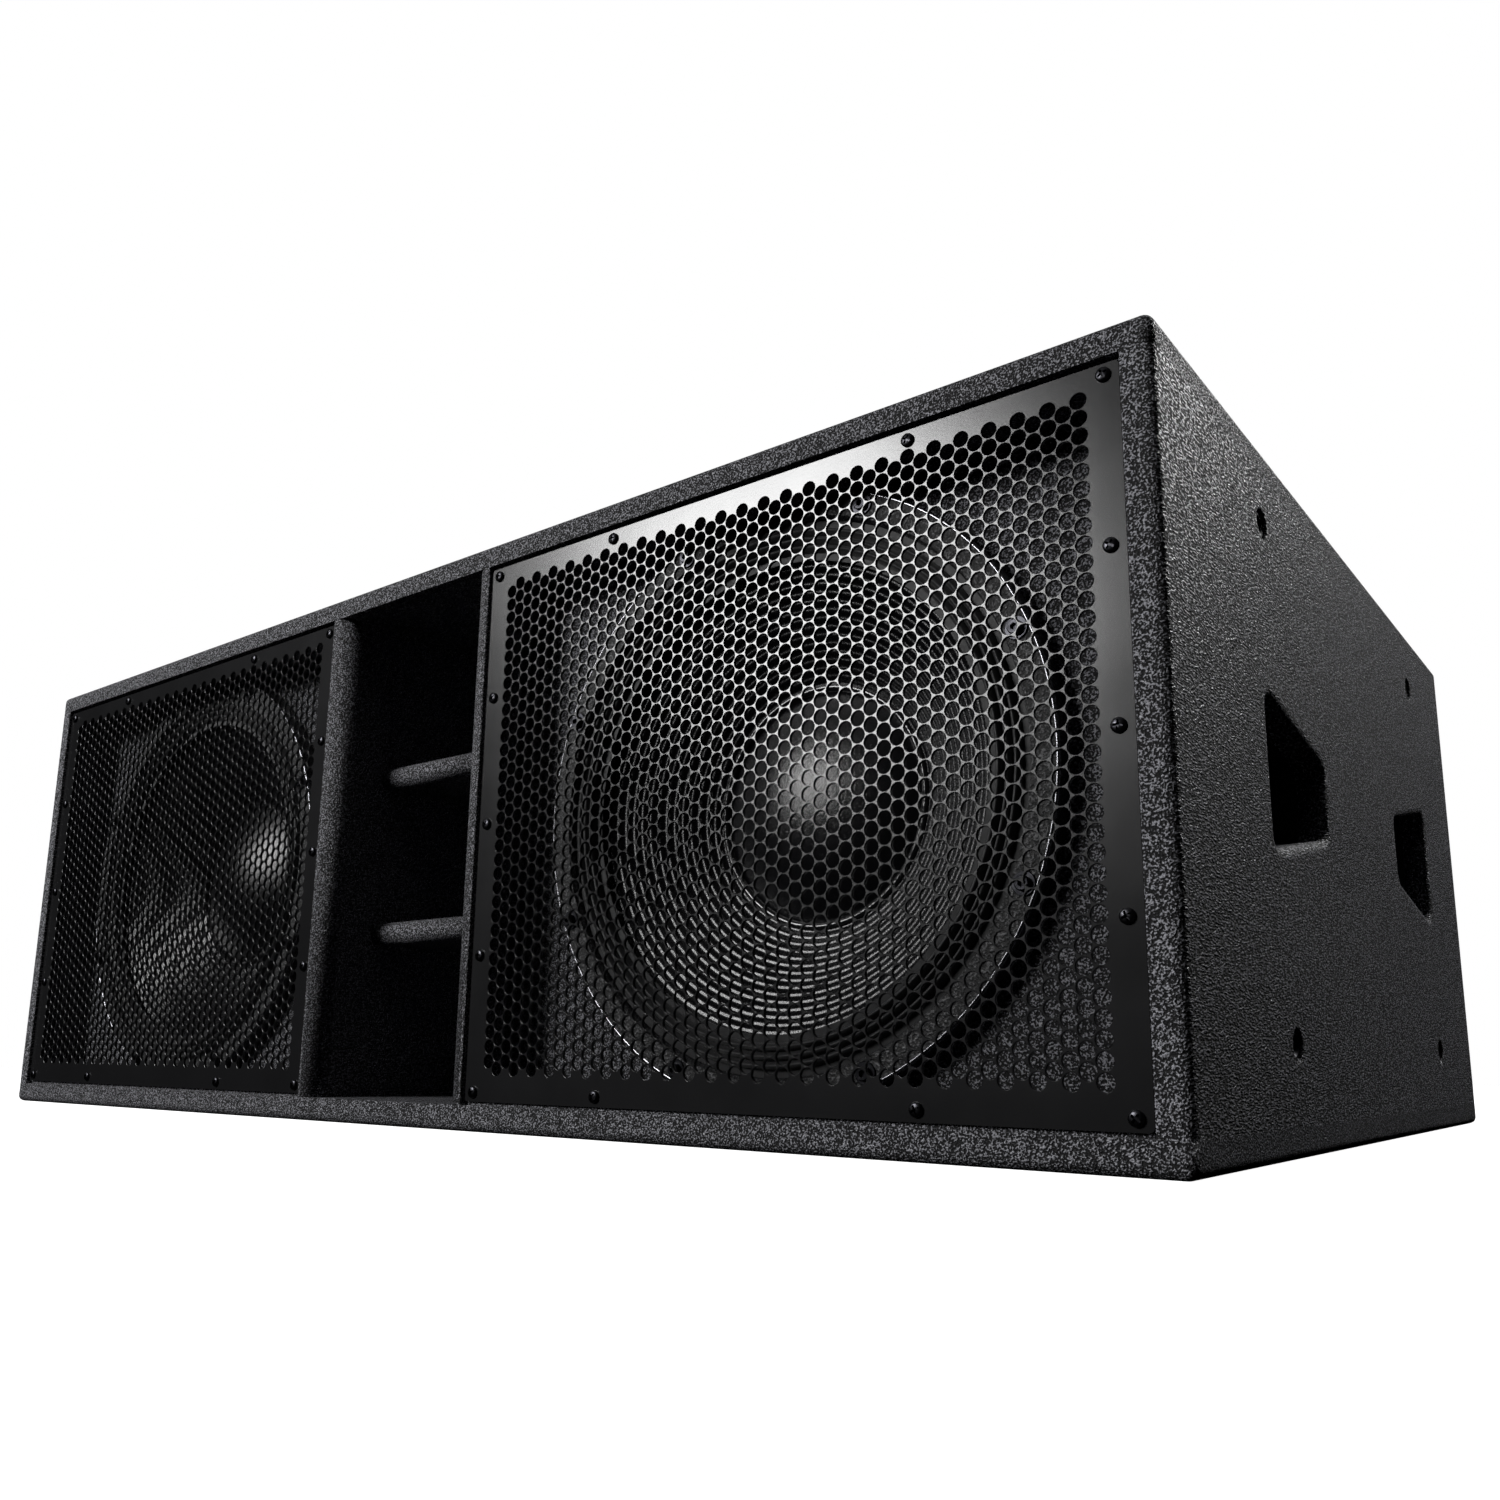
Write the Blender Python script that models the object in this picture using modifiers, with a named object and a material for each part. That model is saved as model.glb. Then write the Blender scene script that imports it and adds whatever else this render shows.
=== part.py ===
"""Dual 15-inch slot-ported PA subwoofer cabinet, built panel by panel, with both drivers.

Lengths are metres. X runs across the cabinet, +Y from the grilles to the back panel, +Z up.
The origin is the middle of the underside. A depth is measured back from the front edge.
"""

import math

import bmesh
import bpy
from mathutils import Matrix, Vector

# Cabinet
WIDTH = 1.220
DEPTH = 0.762
HEIGHT = 0.432
PANEL = 0.018  # birch plywood
GAP = 0.0003  # glue line between pieces that touch
WELD_DISTANCE = 0.00001  # points nearer than this to a turned shape's axis close onto it
EDGE_ROUNDING = 0.006
EDGE_STEPS = 3

# Slot port between the dividers
PORT_WIDTH = 0.164
PORT_TURN = 0.184  # room behind the dividers, where both chambers reach the port
PORT_ROUNDING = 0.015
PORT_SLOTS = 3
SLOT_BRACE_SETBACK = 0.045
SLOT_BRACE_NOSE = 0.0085

# Grilles and the battens they screw to
GRILLE_SETBACK = 0.0028
GRILLE_SHEET = 0.002
GRILLE_SIDE_CLEARANCE = 0.001
GRILLE_END_CLEARANCE = 0.0025
GRILLE_CORNER = 0.003
BATTEN_WIDTH = 0.0138
BATTEN_DEPTH = 0.020

# Window brace in each chamber
WINDOW_BRACE_DEPTH = 0.387
WINDOW_MARGIN = 0.045
WINDOW_CORNER = 0.040

# Hand holes and rigging inserts, the same on both sides, mirrored about one depth
FITTINGS_MIDDLE = 0.3965
FITTINGS_HEIGHT = 0.2205
HAND_HOLE_START = 0.164
HAND_HOLE_LENGTH = 0.123
HAND_HOLE_TALL = 0.094
HAND_HOLE_SHORT = 0.0475
HAND_HOLE_CORNER = 0.009
HAND_HOLE_ROUNDING = 0.007
POCKET_DEPTH = 0.080
POCKET_WALL = 0.0035
POCKET_FLANGE = 0.018
POCKET_DRAFT = 0.006
INSERT_DEPTH = 0.180
INSERT_RISE = 0.158
INSERT_HOLE_RADIUS = 0.0095
INSERT_SINK = 0.002
INSERT_CLEARANCE = 0.0005
INSERT_BORE_RADIUS = 0.0045
INSERT_FLANGE_RADIUS = 0.014
INSERT_FLANGE = 0.002

# Input dish and its two sockets in the back panel
DISH_WIDTH = 0.150
DISH_HEIGHT = 0.090
DISH_CORNER = 0.012
DISH_DEPTH = 0.040
DISH_WALL = 0.003
DISH_FLANGE = 0.015
DISH_DRAFT = 0.004
SOCKET_PITCH = 0.060
SOCKET_RADIUS = 0.0120
SOCKET_RIM_RADIUS = 0.0155
SOCKET_RIM = 0.002
SOCKET_BORE_RADIUS = 0.0098
SOCKET_BORE_DEPTH = 0.016
SOCKET_POST_RADIUS = 0.0035
SOCKET_LENGTH = 0.030

# Driver: radii and thicknesses
CUTOUT_RADIUS = 0.1765
CUTOUT_CLEARANCE = 0.0025
FLANGE_LAP = 0.0175
FLANGE = 0.012
FLANGE_CLEARANCE = 0.0023  # battens to flange
GASKET = 0.002
SEAT_DROP = 0.007
SEAT_OVERHANG = 0.002  # the surround seat reaches past the basket body
SURROUND_INSET = 0.0005
SEAT_WIDTH = 0.010
SURROUND_WIDTH = 0.0255
SURROUND_RIM = 0.006
SURROUND_WALL = 0.0012
SURROUND_ROLLS = 2
SURROUND_RISE = 0.004
CONE_DEPTH = 0.0716
CONE_WALL = 0.0015
CONE_LAP = 0.006  # cone under the surround's inner rim
DUST_CAP_RADIUS = 0.0785
DUST_CAP_RISE = 0.023
DUST_CAP_WALL = 0.0012
COIL_RADIUS = 0.050
FORMER_WALL = 0.0008
FORMER_LENGTH = 0.052
FORMER_ABOVE_NECK = 0.006
WINDING_WALL = 0.0009
WINDING_LENGTH = 0.020
COIL_CLEARANCE = 0.0006
NECK_CLEARANCE = 0.0004
SPIDER_BELOW_NECK = 0.0095
SPIDER_SEAT_CLEARANCE = 0.001
SPIDER_WIDTH = 0.052
SPIDER_RIM = 0.008
SPIDER_WALL = 0.0008
SPIDER_ROLLS = 3
SPIDER_RISE = 0.002
SPIDER_ROOM = 0.0175  # spider seat to top plate, clear of the travel
BASKET_WALL = 0.005
BASKET_FOOT = 0.005
BASKET_WINDOWS = 6
BASKET_WINDOW_WIDTH = 0.070
BASKET_WINDOW_MARGIN = 0.010
TOP_PLATE = 0.010
MAGNET = 0.022
MAGNET_RING = 0.056  # width of the ring, bore to rim
MAGNET_BORE_CLEARANCE = 0.010
PLATE_INSET = 0.004  # plates sit in from the magnet's rim
BACK_PLATE = 0.010
POLE_VENT_RADIUS = 0.012

# Terminal block and cables
TERMINAL_WIDTH = 0.034
TERMINAL_HEIGHT = 0.0115
TERMINAL_LENGTH = 0.012
TERMINAL_STANDOFF = 0.0015
CABLE_RADIUS = 0.0035
CABLE_HEIGHT = 0.085
CABLE_STUB = 0.005  # straight end at each terminal
CABLE_LEAD_OUT = 0.030
CABLE_POINTS_PER_SPAN = 5

# Facets of the round pieces
DRIVER_STEPS = 24
SMALL_STEPS = 16
CORNER_STEPS = 3
ARC_STEPS = 3

FINISHES = {  # colour, roughness, metallic
    "coated_plywood": ((0.015, 0.015, 0.017), 0.55, 0.0),
    "bare_plywood": ((0.50, 0.36, 0.22), 0.70, 0.0),
    "powder_coated_steel": ((0.020, 0.020, 0.022), 0.35, 0.6),
    "black_plastic": ((0.018, 0.018, 0.020), 0.45, 0.0),
    "cast_basket": ((0.030, 0.030, 0.033), 0.45, 0.7),
    "gasket_foam": ((0.020, 0.020, 0.020), 0.90, 0.0),
    "treated_cloth": ((0.015, 0.015, 0.015), 0.60, 0.0),
    "pressed_paper": ((0.020, 0.020, 0.022), 0.65, 0.0),
    "amber_cloth": ((0.45, 0.27, 0.08), 0.80, 0.0),
    "copper_winding": ((0.60, 0.28, 0.12), 0.35, 0.9),
    "plated_steel": ((0.55, 0.55, 0.57), 0.30, 1.0),
    "ferrite": ((0.060, 0.060, 0.065), 0.50, 0.0),
    "cable_sheath": ((0.015, 0.015, 0.015), 0.50, 0.0),
}

SIDES = {"left": -1, "right": 1}

# Places worked out from the sizes above
wall_low = PANEL + GAP
wall_high = HEIGHT - PANEL - GAP
port_length = DEPTH - PANEL - PORT_TURN
chamber_inner = PORT_WIDTH / 2 + PANEL
chamber_outer = WIDTH / 2 - PANEL
driver_x = (chamber_inner + chamber_outer) / 2
driver_z = HEIGHT / 2

# Stations along a driver's axis, from the baffle's front face, positive towards the listener
flange_back = GASKET + 2 * GAP
flange_front = flange_back + FLANGE
seat_z = flange_front - SEAT_DROP
neck_z = seat_z - CONE_DEPTH
spider_z = neck_z - SPIDER_BELOW_NECK
spider_seat_z = spider_z - SPIDER_WALL - GAP
top_plate_front = spider_seat_z - SPIDER_ROOM
magnet_front = top_plate_front - TOP_PLATE - GAP
back_plate_front = magnet_front - MAGNET - GAP
back_plate_back = back_plate_front - BACK_PLATE

batten_front = GRILLE_SETBACK + GRILLE_SHEET + GAP
baffle_depth = batten_front + BATTEN_DEPTH + FLANGE_CLEARANCE + flange_front

# Radii of a driver
flange_radius = CUTOUT_RADIUS + FLANGE_LAP
body_radius = CUTOUT_RADIUS - CUTOUT_CLEARANCE
seat_outer = body_radius + SEAT_OVERHANG
seat_inner = seat_outer - SEAT_WIDTH
surround_outer = seat_outer - SURROUND_INSET
surround_inner = surround_outer - SURROUND_WIDTH
cone_rim_radius = surround_inner + CONE_LAP
former_outer = COIL_RADIUS + FORMER_WALL / 2
former_inner = COIL_RADIUS - FORMER_WALL / 2
winding_outer = former_outer + WINDING_WALL
neck_radius = former_outer + NECK_CLEARANCE
pole_radius = former_inner - COIL_CLEARANCE
plate_bore_radius = winding_outer + COIL_CLEARANCE
magnet_bore_radius = plate_bore_radius + MAGNET_BORE_CLEARANCE
magnet_radius = magnet_bore_radius + MAGNET_RING
plate_radius = magnet_radius - PLATE_INSET
spider_outer = neck_radius + SPIDER_WIDTH
spider_seat_outer = spider_outer + SPIDER_SEAT_CLEARANCE
spider_seat_inner = spider_outer - SPIDER_RIM


def y_at(depth):
    """World Y of a depth behind the front edge."""
    return depth - DEPTH / 2


def mirrored_depth(depth):
    """The depth of a side fitting's twin, behind the fittings' middle."""
    return 2 * FITTINGS_MIDDLE - depth


def cone_face_z(radius):
    """Axial station of the cone's front face at a radius."""
    slope = CONE_DEPTH / (cone_rim_radius - neck_radius)
    return neck_z + slope * (radius - neck_radius)


# Scene and materials


def clear_scene():
    for obj in list(bpy.data.objects):
        bpy.data.objects.remove(obj, do_unlink=True)


def new_collection(name):
    collection = bpy.data.collections.new(name)
    bpy.context.scene.collection.children.link(collection)
    return collection


def new_material(name, finish):
    colour, roughness, metallic = FINISHES[finish]
    material = bpy.data.materials.new(name)
    material.use_nodes = True
    material.diffuse_color = (*colour, 1.0)
    shader = material.node_tree.nodes["Principled BSDF"]
    shader.inputs["Base Color"].default_value = (*colour, 1.0)
    shader.inputs["Roughness"].default_value = roughness
    shader.inputs["Metallic"].default_value = metallic
    return material


def add_part(name, data, finish, parent=None):
    part = bpy.data.objects.new(name, data)
    part.data.materials.append(new_material(name, finish))
    part_collection.objects.link(part)
    part.parent = parent
    return part


def cut(part, name, mesh, parent=None):
    """Subtracts a mesh from a part with a Boolean, and keeps the cutter in its own collection."""
    cutter = bpy.data.objects.new(name, mesh)
    cutter_collection.objects.link(cutter)
    cutter.parent = parent
    cutter.hide_render = True
    cutter.display_type = "WIRE"
    boolean = part.modifiers.new(name, "BOOLEAN")
    boolean.operation = "DIFFERENCE"
    boolean.solver = "EXACT"
    boolean.object = cutter


# Mesh helpers


def finished_mesh(name, bm):
    mesh = bpy.data.meshes.new(name)
    bm.to_mesh(mesh)
    bm.free()
    return mesh


def box_mesh(name, low, high, is_rounded=None, rounding=EDGE_ROUNDING):
    """A box between two corners, with the edges that is_rounded picks rounded over."""
    low, high = Vector(low), Vector(high)
    bm = bmesh.new()
    bmesh.ops.create_cube(bm, size=1.0)
    bmesh.ops.scale(bm, vec=high - low, verts=bm.verts)
    bmesh.ops.translate(bm, vec=(low + high) / 2, verts=bm.verts)
    if is_rounded:
        chosen = [edge for edge in bm.edges if is_rounded(*(vert.co for vert in edge.verts))]
        bmesh.ops.bevel(
            bm, geom=chosen, offset=rounding, segments=EDGE_STEPS, profile=0.5, affect="EDGES"
        )
    return finished_mesh(name, bm)


def cylinder_mesh(name, radius, start, end, steps):
    """A cylinder between two points."""
    start, end = Vector(start), Vector(end)
    turn = (end - start).to_track_quat("Z", "Y").to_matrix().to_4x4()
    bm = bmesh.new()
    bmesh.ops.create_cone(
        bm,
        cap_ends=True,
        segments=steps,
        radius1=radius,
        radius2=radius,
        depth=(end - start).length,
        matrix=Matrix.Translation((start + end) / 2) @ turn,
    )
    return finished_mesh(name, bm)


def rounded_outline(corners, radius, grow=0.0):
    """A convex outline, listed anticlockwise, with rounded corners, grown outwards by an offset."""
    outline = []
    for index, corner in enumerate(corners):
        corner = Vector(corner)
        before = (corner - Vector(corners[index - 1])).normalized()
        after = (Vector(corners[(index + 1) % len(corners)]) - corner).normalized()
        half = before.angle(after) / 2
        inwards = (after - before).normalized()
        centre = corner + inwards * radius / math.cos(half)
        start = math.atan2(-before.x, before.y)
        for step in range(CORNER_STEPS + 1):
            angle = start + 2 * half * step / CORNER_STEPS
            reach = radius + grow
            outline.append(centre + reach * Vector((math.cos(angle), math.sin(angle))))
    return outline


def rectangle(width, height):
    x, y = width / 2, height / 2
    return [(-x, -y), (x, -y), (x, y), (-x, y)]


def loft_mesh(name, sections):
    """A closed solid through sections with equal point counts, with its first and last section filled."""
    bm = bmesh.new()
    loops = [[bm.verts.new(point) for point in section] for section in sections]
    for near, far in zip(loops, loops[1:]):
        for index in range(len(near)):
            following = (index + 1) % len(near)
            bm.faces.new((near[index], near[following], far[following], far[index]))
    bm.faces.new(loops[0])
    bm.faces.new(loops[-1])
    bmesh.ops.recalc_face_normals(bm, faces=bm.faces)
    return finished_mesh(name, bm)


def plate(name, outlines, low_y, thickness, finish, centre):
    """A flat upright plate parallel to the front, from outlines in X and Z about a centre."""
    curve = bpy.data.curves.new(name, "CURVE")
    curve.dimensions = "2D"
    curve.fill_mode = "BOTH"
    curve.extrude = thickness / 2
    for outline in outlines:
        spline = curve.splines.new("POLY")
        spline.points.add(len(outline) - 1)
        spline.use_cyclic_u = True
        for point, place in zip(spline.points, outline):
            point.co = (place[0], place[1], 0.0, 1.0)
    part = add_part(name, curve, finish)
    part.location = (centre[0], low_y + thickness / 2, centre[1])
    part.rotation_euler = (math.pi / 2, 0.0, 0.0)
    return part


def circle(radius, steps):
    turns = [2 * math.pi * step / steps for step in range(steps)]
    return [(radius * math.cos(turn), radius * math.sin(turn)) for turn in turns]


def turned(name, outline, finish, steps, parent=None, closed=True):
    """A solid turned about its own Z from (radius, z) points that run down its outer side."""
    mesh = bpy.data.meshes.new(name)
    points = [(radius, 0.0, height) for radius, height in outline]
    edges = [(index, index + 1) for index in range(len(points) - 1)]
    if closed:
        edges.append((len(points) - 1, 0))
    mesh.from_pydata(points, edges, [])
    part = add_part(name, mesh, finish, parent)
    screw = part.modifiers.new("turn", "SCREW")
    screw.axis = "Z"
    screw.angle = 2 * math.pi
    screw.steps = steps
    screw.render_steps = steps
    screw.use_merge_vertices = True
    screw.merge_threshold = WELD_DISTANCE
    screw.use_smooth_shade = True
    return part


def ring(name, outer, inner, front, back, finish, steps, parent=None):
    outline = [(outer, front), (outer, back), (inner, back), (inner, front)]
    return turned(name, outline, finish, steps, parent)


def rolled_strip(inner, outer, z, wall, inner_rim, outer_rim, rolls, rise):
    """Closed profile of a thin ring whose middle rises in half-round rolls."""
    steps = 2 * rolls
    start, end = inner + inner_rim, outer - outer_rim
    rolled = [
        (start + (end - start) * step / steps, z + rise * (step % 2)) for step in range(steps + 1)
    ]
    front = [(inner, z), *rolled, (outer, z)]
    back = [(radius, height - wall) for radius, height in front]
    return [front[-1], *back[::-1], *front[:-1]]


# Cabinet


def add_panels():
    x, y = WIDTH / 2, DEPTH / 2

    def upright(a, b):
        return abs(a.z - b.z) > PANEL / 2

    def on_top(a, b):
        return upright(a, b) or min(a.z, b.z) > HEIGHT - PANEL / 2

    def on_bottom(a, b):
        return upright(a, b) or max(a.z, b.z) < PANEL / 2

    top = box_mesh("top_panel", (-x, -y, HEIGHT - PANEL), (x, y, HEIGHT), on_top)
    add_part("top_panel", top, "coated_plywood")
    bottom = box_mesh("bottom_panel", (-x, -y, 0.0), (x, y, PANEL), on_bottom)
    add_part("bottom_panel", bottom, "coated_plywood")
    inside = chamber_outer - GAP
    back = box_mesh("back_panel", (-inside, y - PANEL, wall_low), (inside, y, wall_high))
    panel = add_part("back_panel", back, "coated_plywood")
    cut_dish_seat(panel)
    for side, sign in SIDES.items():
        add_side_panel(side, sign)


def add_side_panel(side, sign):
    name = f"{side}_side_panel"
    edges = sorted((sign * chamber_outer, sign * WIDTH / 2))
    low = (edges[0], -DEPTH / 2, wall_low)
    high = (edges[1], DEPTH / 2, wall_high)

    def outer_upright(a, b):
        return abs(a.z - b.z) > PANEL and abs(a.x) > WIDTH / 2 - PANEL / 2

    panel = add_part(name, box_mesh(name, low, high, outer_upright), "coated_plywood")
    for end, is_rear in (("front", False), ("rear", True)):
        cut(panel, f"{side}_{end}_hand_hole_cutter", hand_hole_cutter(sign, is_rear))
        for level, height in insert_heights().items():
            start = (sign * (chamber_outer - PANEL), insert_y(is_rear), height)
            finish = (sign * (WIDTH / 2 + PANEL), insert_y(is_rear), height)
            mesh = cylinder_mesh("insert_hole", INSERT_HOLE_RADIUS, start, finish, SMALL_STEPS)
            cut(panel, f"{side}_{end}_{level}_insert_cutter", mesh)


def hand_hole_corners(is_rear):
    """The hand hole's sharp corners in depth and height, anticlockwise."""
    tall, short = HAND_HOLE_TALL / 2, HAND_HOLE_SHORT / 2
    start, end = HAND_HOLE_START, HAND_HOLE_START + HAND_HOLE_LENGTH
    corners = [(start, -tall), (end, -short), (end, short), (start, tall)]
    if is_rear:
        corners = [(mirrored_depth(depth), rise) for depth, rise in reversed(corners)]
    return corners


def hand_hole_section(sign, is_rear, x, grow):
    outline = rounded_outline(hand_hole_corners(is_rear), HAND_HOLE_CORNER, grow)
    return [(sign * x, y_at(point.x), FITTINGS_HEIGHT + point.y) for point in outline]


def hand_hole_cutter(sign, is_rear):
    """The hand hole with its rounded outer edge, as a solid that stands past both faces."""
    face = WIDTH / 2
    stations = [(chamber_outer - PANEL, 0.0)]
    for step in range(ARC_STEPS + 1):
        angle = math.pi / 2 * step / ARC_STEPS
        reach = HAND_HOLE_ROUNDING * (1 - math.cos(angle))
        stations.append((face - HAND_HOLE_ROUNDING * (1 - math.sin(angle)), reach))
    stations.append((face + PANEL, HAND_HOLE_ROUNDING))
    sections = [hand_hole_section(sign, is_rear, x, grow) for x, grow in stations]
    return loft_mesh("hand_hole_cutter", sections)


def add_hand_pockets():
    """A flanged plastic cup behind each hand hole, closing the chamber off from it."""
    mouth = chamber_outer - GAP
    floor = mouth - POCKET_DEPTH
    stations = [
        (floor, -POCKET_DRAFT),
        (mouth, 0.0),
        (mouth, POCKET_FLANGE),
        (mouth - POCKET_WALL, POCKET_FLANGE),
        (mouth - POCKET_WALL, POCKET_WALL),
        (floor - POCKET_WALL, POCKET_WALL - POCKET_DRAFT),
    ]
    for side, sign in SIDES.items():
        for end, is_rear in (("front", False), ("rear", True)):
            name = f"{side}_{end}_hand_pocket"
            sections = [hand_hole_section(sign, is_rear, x, grow) for x, grow in stations]
            add_part(name, loft_mesh(name, sections), "black_plastic")


def insert_heights():
    return {"upper": FITTINGS_HEIGHT + INSERT_RISE, "lower": FITTINGS_HEIGHT - INSERT_RISE}


def insert_y(is_rear):
    return y_at(mirrored_depth(INSERT_DEPTH) if is_rear else INSERT_DEPTH)


def add_rigging_inserts():
    """Flanged threaded inserts, pulled into the side panels from inside."""
    barrel = INSERT_HOLE_RADIUS - INSERT_CLEARANCE
    outline = [
        (barrel, PANEL - INSERT_SINK),
        (barrel, -GAP),
        (INSERT_FLANGE_RADIUS, -GAP),
        (INSERT_FLANGE_RADIUS, -GAP - INSERT_FLANGE),
        (INSERT_BORE_RADIUS, -GAP - INSERT_FLANGE),
        (INSERT_BORE_RADIUS, PANEL - INSERT_SINK),
    ]
    for side, sign in SIDES.items():
        for end, is_rear in (("front", False), ("rear", True)):
            for level, height in insert_heights().items():
                name = f"{side}_{end}_{level}_rigging_insert"
                insert = turned(name, outline, "plated_steel", SMALL_STEPS)
                insert.location = (sign * chamber_outer, insert_y(is_rear), height)
                insert.rotation_euler = (0.0, sign * math.pi / 2, 0.0)


def add_port():
    for side, sign in SIDES.items():
        name = f"{side}_divider"
        edges = sorted((sign * PORT_WIDTH / 2, sign * chamber_inner))
        low = (edges[0], y_at(0.0), wall_low)
        high = (edges[1], y_at(port_length), wall_high)

        def port_edge(a, b):
            return abs(a.z - b.z) > PANEL and abs(a.x) < PORT_WIDTH / 2 + PANEL / 2

        mesh = box_mesh(name, low, high, port_edge, PORT_ROUNDING)
        add_part(name, mesh, "coated_plywood")
    half_width = PORT_WIDTH / 2 - GAP
    slot_pitch = (HEIGHT - 2 * PANEL) / PORT_SLOTS

    def across(a, b):
        return abs(a.x - b.x) > PANEL

    for level, name in enumerate(("lower_port_brace", "upper_port_brace"), start=1):
        middle = PANEL + level * slot_pitch
        low = (-half_width, y_at(SLOT_BRACE_SETBACK), middle - PANEL / 2)
        high = (half_width, y_at(port_length), middle + PANEL / 2)
        add_part(name, box_mesh(name, low, high, across, SLOT_BRACE_NOSE), "coated_plywood")


def add_chamber_plates():
    """Baffle, window brace, batten frame and grille of each chamber."""
    width = chamber_outer - chamber_inner - 2 * GAP
    height = wall_high - wall_low
    opening = rectangle(width - 2 * BATTEN_WIDTH, height - 2 * BATTEN_WIDTH)
    window = rectangle(width - 2 * WINDOW_MARGIN, height - 2 * WINDOW_MARGIN)
    sheet_width = width + 2 * GAP - 2 * GRILLE_SIDE_CLEARANCE
    sheet_height = HEIGHT - 2 * PANEL - 2 * GRILLE_END_CLEARANCE
    sheet = rounded_outline(rectangle(sheet_width, sheet_height), GRILLE_CORNER)
    for side, sign in SIDES.items():
        centre = (sign * driver_x, driver_z)
        panel = rectangle(width, height)
        cutout = circle(CUTOUT_RADIUS, DRIVER_STEPS)
        front = y_at(baffle_depth)
        plate(f"{side}_baffle", [panel, cutout], front, PANEL, "coated_plywood", centre)
        rounded_window = rounded_outline(window, WINDOW_CORNER)
        outlines = [panel, rounded_window]
        front = y_at(WINDOW_BRACE_DEPTH)
        plate(f"{side}_window_brace", outlines, front, PANEL, "bare_plywood", centre)
        front = y_at(batten_front)
        name = f"{side}_grille_battens"
        plate(name, [panel, opening], front, BATTEN_DEPTH, "coated_plywood", centre)
        front = y_at(GRILLE_SETBACK)
        plate(f"{side}_grille", [sheet], front, GRILLE_SHEET, "powder_coated_steel", centre)


# Driver


def add_driver(side, sign):
    """One 15-inch driver, hung on an empty on its axis at the baffle's front face."""
    axis = bpy.data.objects.new(f"{side}_driver_axis", None)
    part_collection.objects.link(axis)
    axis.location = (sign * driver_x, y_at(baffle_depth), driver_z)
    axis.rotation_euler = (math.pi / 2, 0.0, 0.0)
    add_basket(side, axis)
    add_moving_parts(side, axis)
    add_suspension(side, axis)
    add_motor(side, axis)
    add_terminal(side, axis)


def add_basket(side, axis):
    gasket_inner = CUTOUT_RADIUS
    name = f"{side}_basket_gasket"
    ring(name, flange_radius, gasket_inner, GAP + GASKET, GAP, "gasket_foam", DRIVER_STEPS, axis)
    foot_outer = spider_seat_outer + BASKET_WALL
    foot_back = top_plate_front + GAP
    shoulder = seat_z - SEAT_WIDTH - BASKET_WALL
    outline = [
        (flange_radius, flange_front),
        (flange_radius, flange_back),
        (body_radius, flange_back),
        (body_radius, shoulder),
        (foot_outer + BASKET_WALL, spider_seat_z),
        (foot_outer, foot_back),
        (magnet_bore_radius, foot_back),
        (magnet_bore_radius, foot_back + BASKET_FOOT),
        (spider_seat_inner, foot_back + BASKET_FOOT),
        (spider_seat_inner, spider_seat_z),
        (spider_seat_outer, spider_seat_z),
        (seat_inner, seat_z - SEAT_WIDTH),
        (seat_inner, seat_z),
        (seat_outer, seat_z),
        (seat_outer, flange_front),
    ]
    basket = turned(f"{side}_basket", outline, "cast_basket", DRIVER_STEPS, axis)
    cut(basket, f"{side}_basket_window_cutter", basket_window_cutter(shoulder), axis)


def basket_window_cutter(shoulder):
    """One block for each window, standing out from the axis through the basket's wall."""
    bottom = spider_seat_z + BASKET_WINDOW_MARGIN
    top = shoulder - BASKET_WINDOW_MARGIN / 2
    near, far = spider_seat_inner, body_radius + BASKET_WALL
    bm = bmesh.new()
    for window in range(BASKET_WINDOWS):
        block = bmesh.ops.create_cube(bm, size=1.0)["verts"]
        bmesh.ops.scale(bm, vec=(far - near, BASKET_WINDOW_WIDTH, top - bottom), verts=block)
        place = ((near + far) / 2, 0.0, (top + bottom) / 2)
        bmesh.ops.translate(bm, vec=place, verts=block)
        turn = Matrix.Rotation(2 * math.pi * (window + 0.5) / BASKET_WINDOWS, 3, "Z")
        bmesh.ops.rotate(bm, cent=(0, 0, 0), matrix=turn, verts=block)
    return finished_mesh("basket_window_cutter", bm)


def add_moving_parts(side, axis):
    """Cone, dust cap and voice coil, which travel together along the axis."""
    face = [
        (cone_rim_radius, seat_z),
        (cone_rim_radius, seat_z - CONE_WALL),
        (neck_radius, neck_z - CONE_WALL),
        (neck_radius, neck_z),
    ]
    turned(f"{side}_cone", face, "pressed_paper", DRIVER_STEPS, axis)
    rim_z = cone_face_z(DUST_CAP_RADIUS) + GAP
    dome = []
    for wall in (0.0, DUST_CAP_WALL):
        radius, rise = DUST_CAP_RADIUS - wall, DUST_CAP_RISE - wall
        arc = []
        for step in range(ARC_STEPS + 2):
            out = math.sin(math.pi / 2 * step / (ARC_STEPS + 1))
            arc.append((radius * out, rim_z + rise * (1 - out**2)))
        dome += arc[::-1] if wall else arc
    turned(f"{side}_dust_cap", dome, "pressed_paper", DRIVER_STEPS, axis, closed=False)
    top = neck_z + FORMER_ABOVE_NECK
    bottom = top - FORMER_LENGTH
    winding_middle = top_plate_front - TOP_PLATE / 2
    winding_top = winding_middle + WINDING_LENGTH / 2
    winding_bottom = winding_middle - WINDING_LENGTH / 2
    former = [
        (former_outer, top),
        (former_outer, winding_top),
        (winding_outer, winding_top),
        (winding_outer, winding_bottom),
        (former_outer, winding_bottom),
        (former_outer, bottom),
        (former_inner, bottom),
        (former_inner, top),
    ]
    turned(f"{side}_voice_coil", former, "copper_winding", DRIVER_STEPS, axis)


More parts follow.
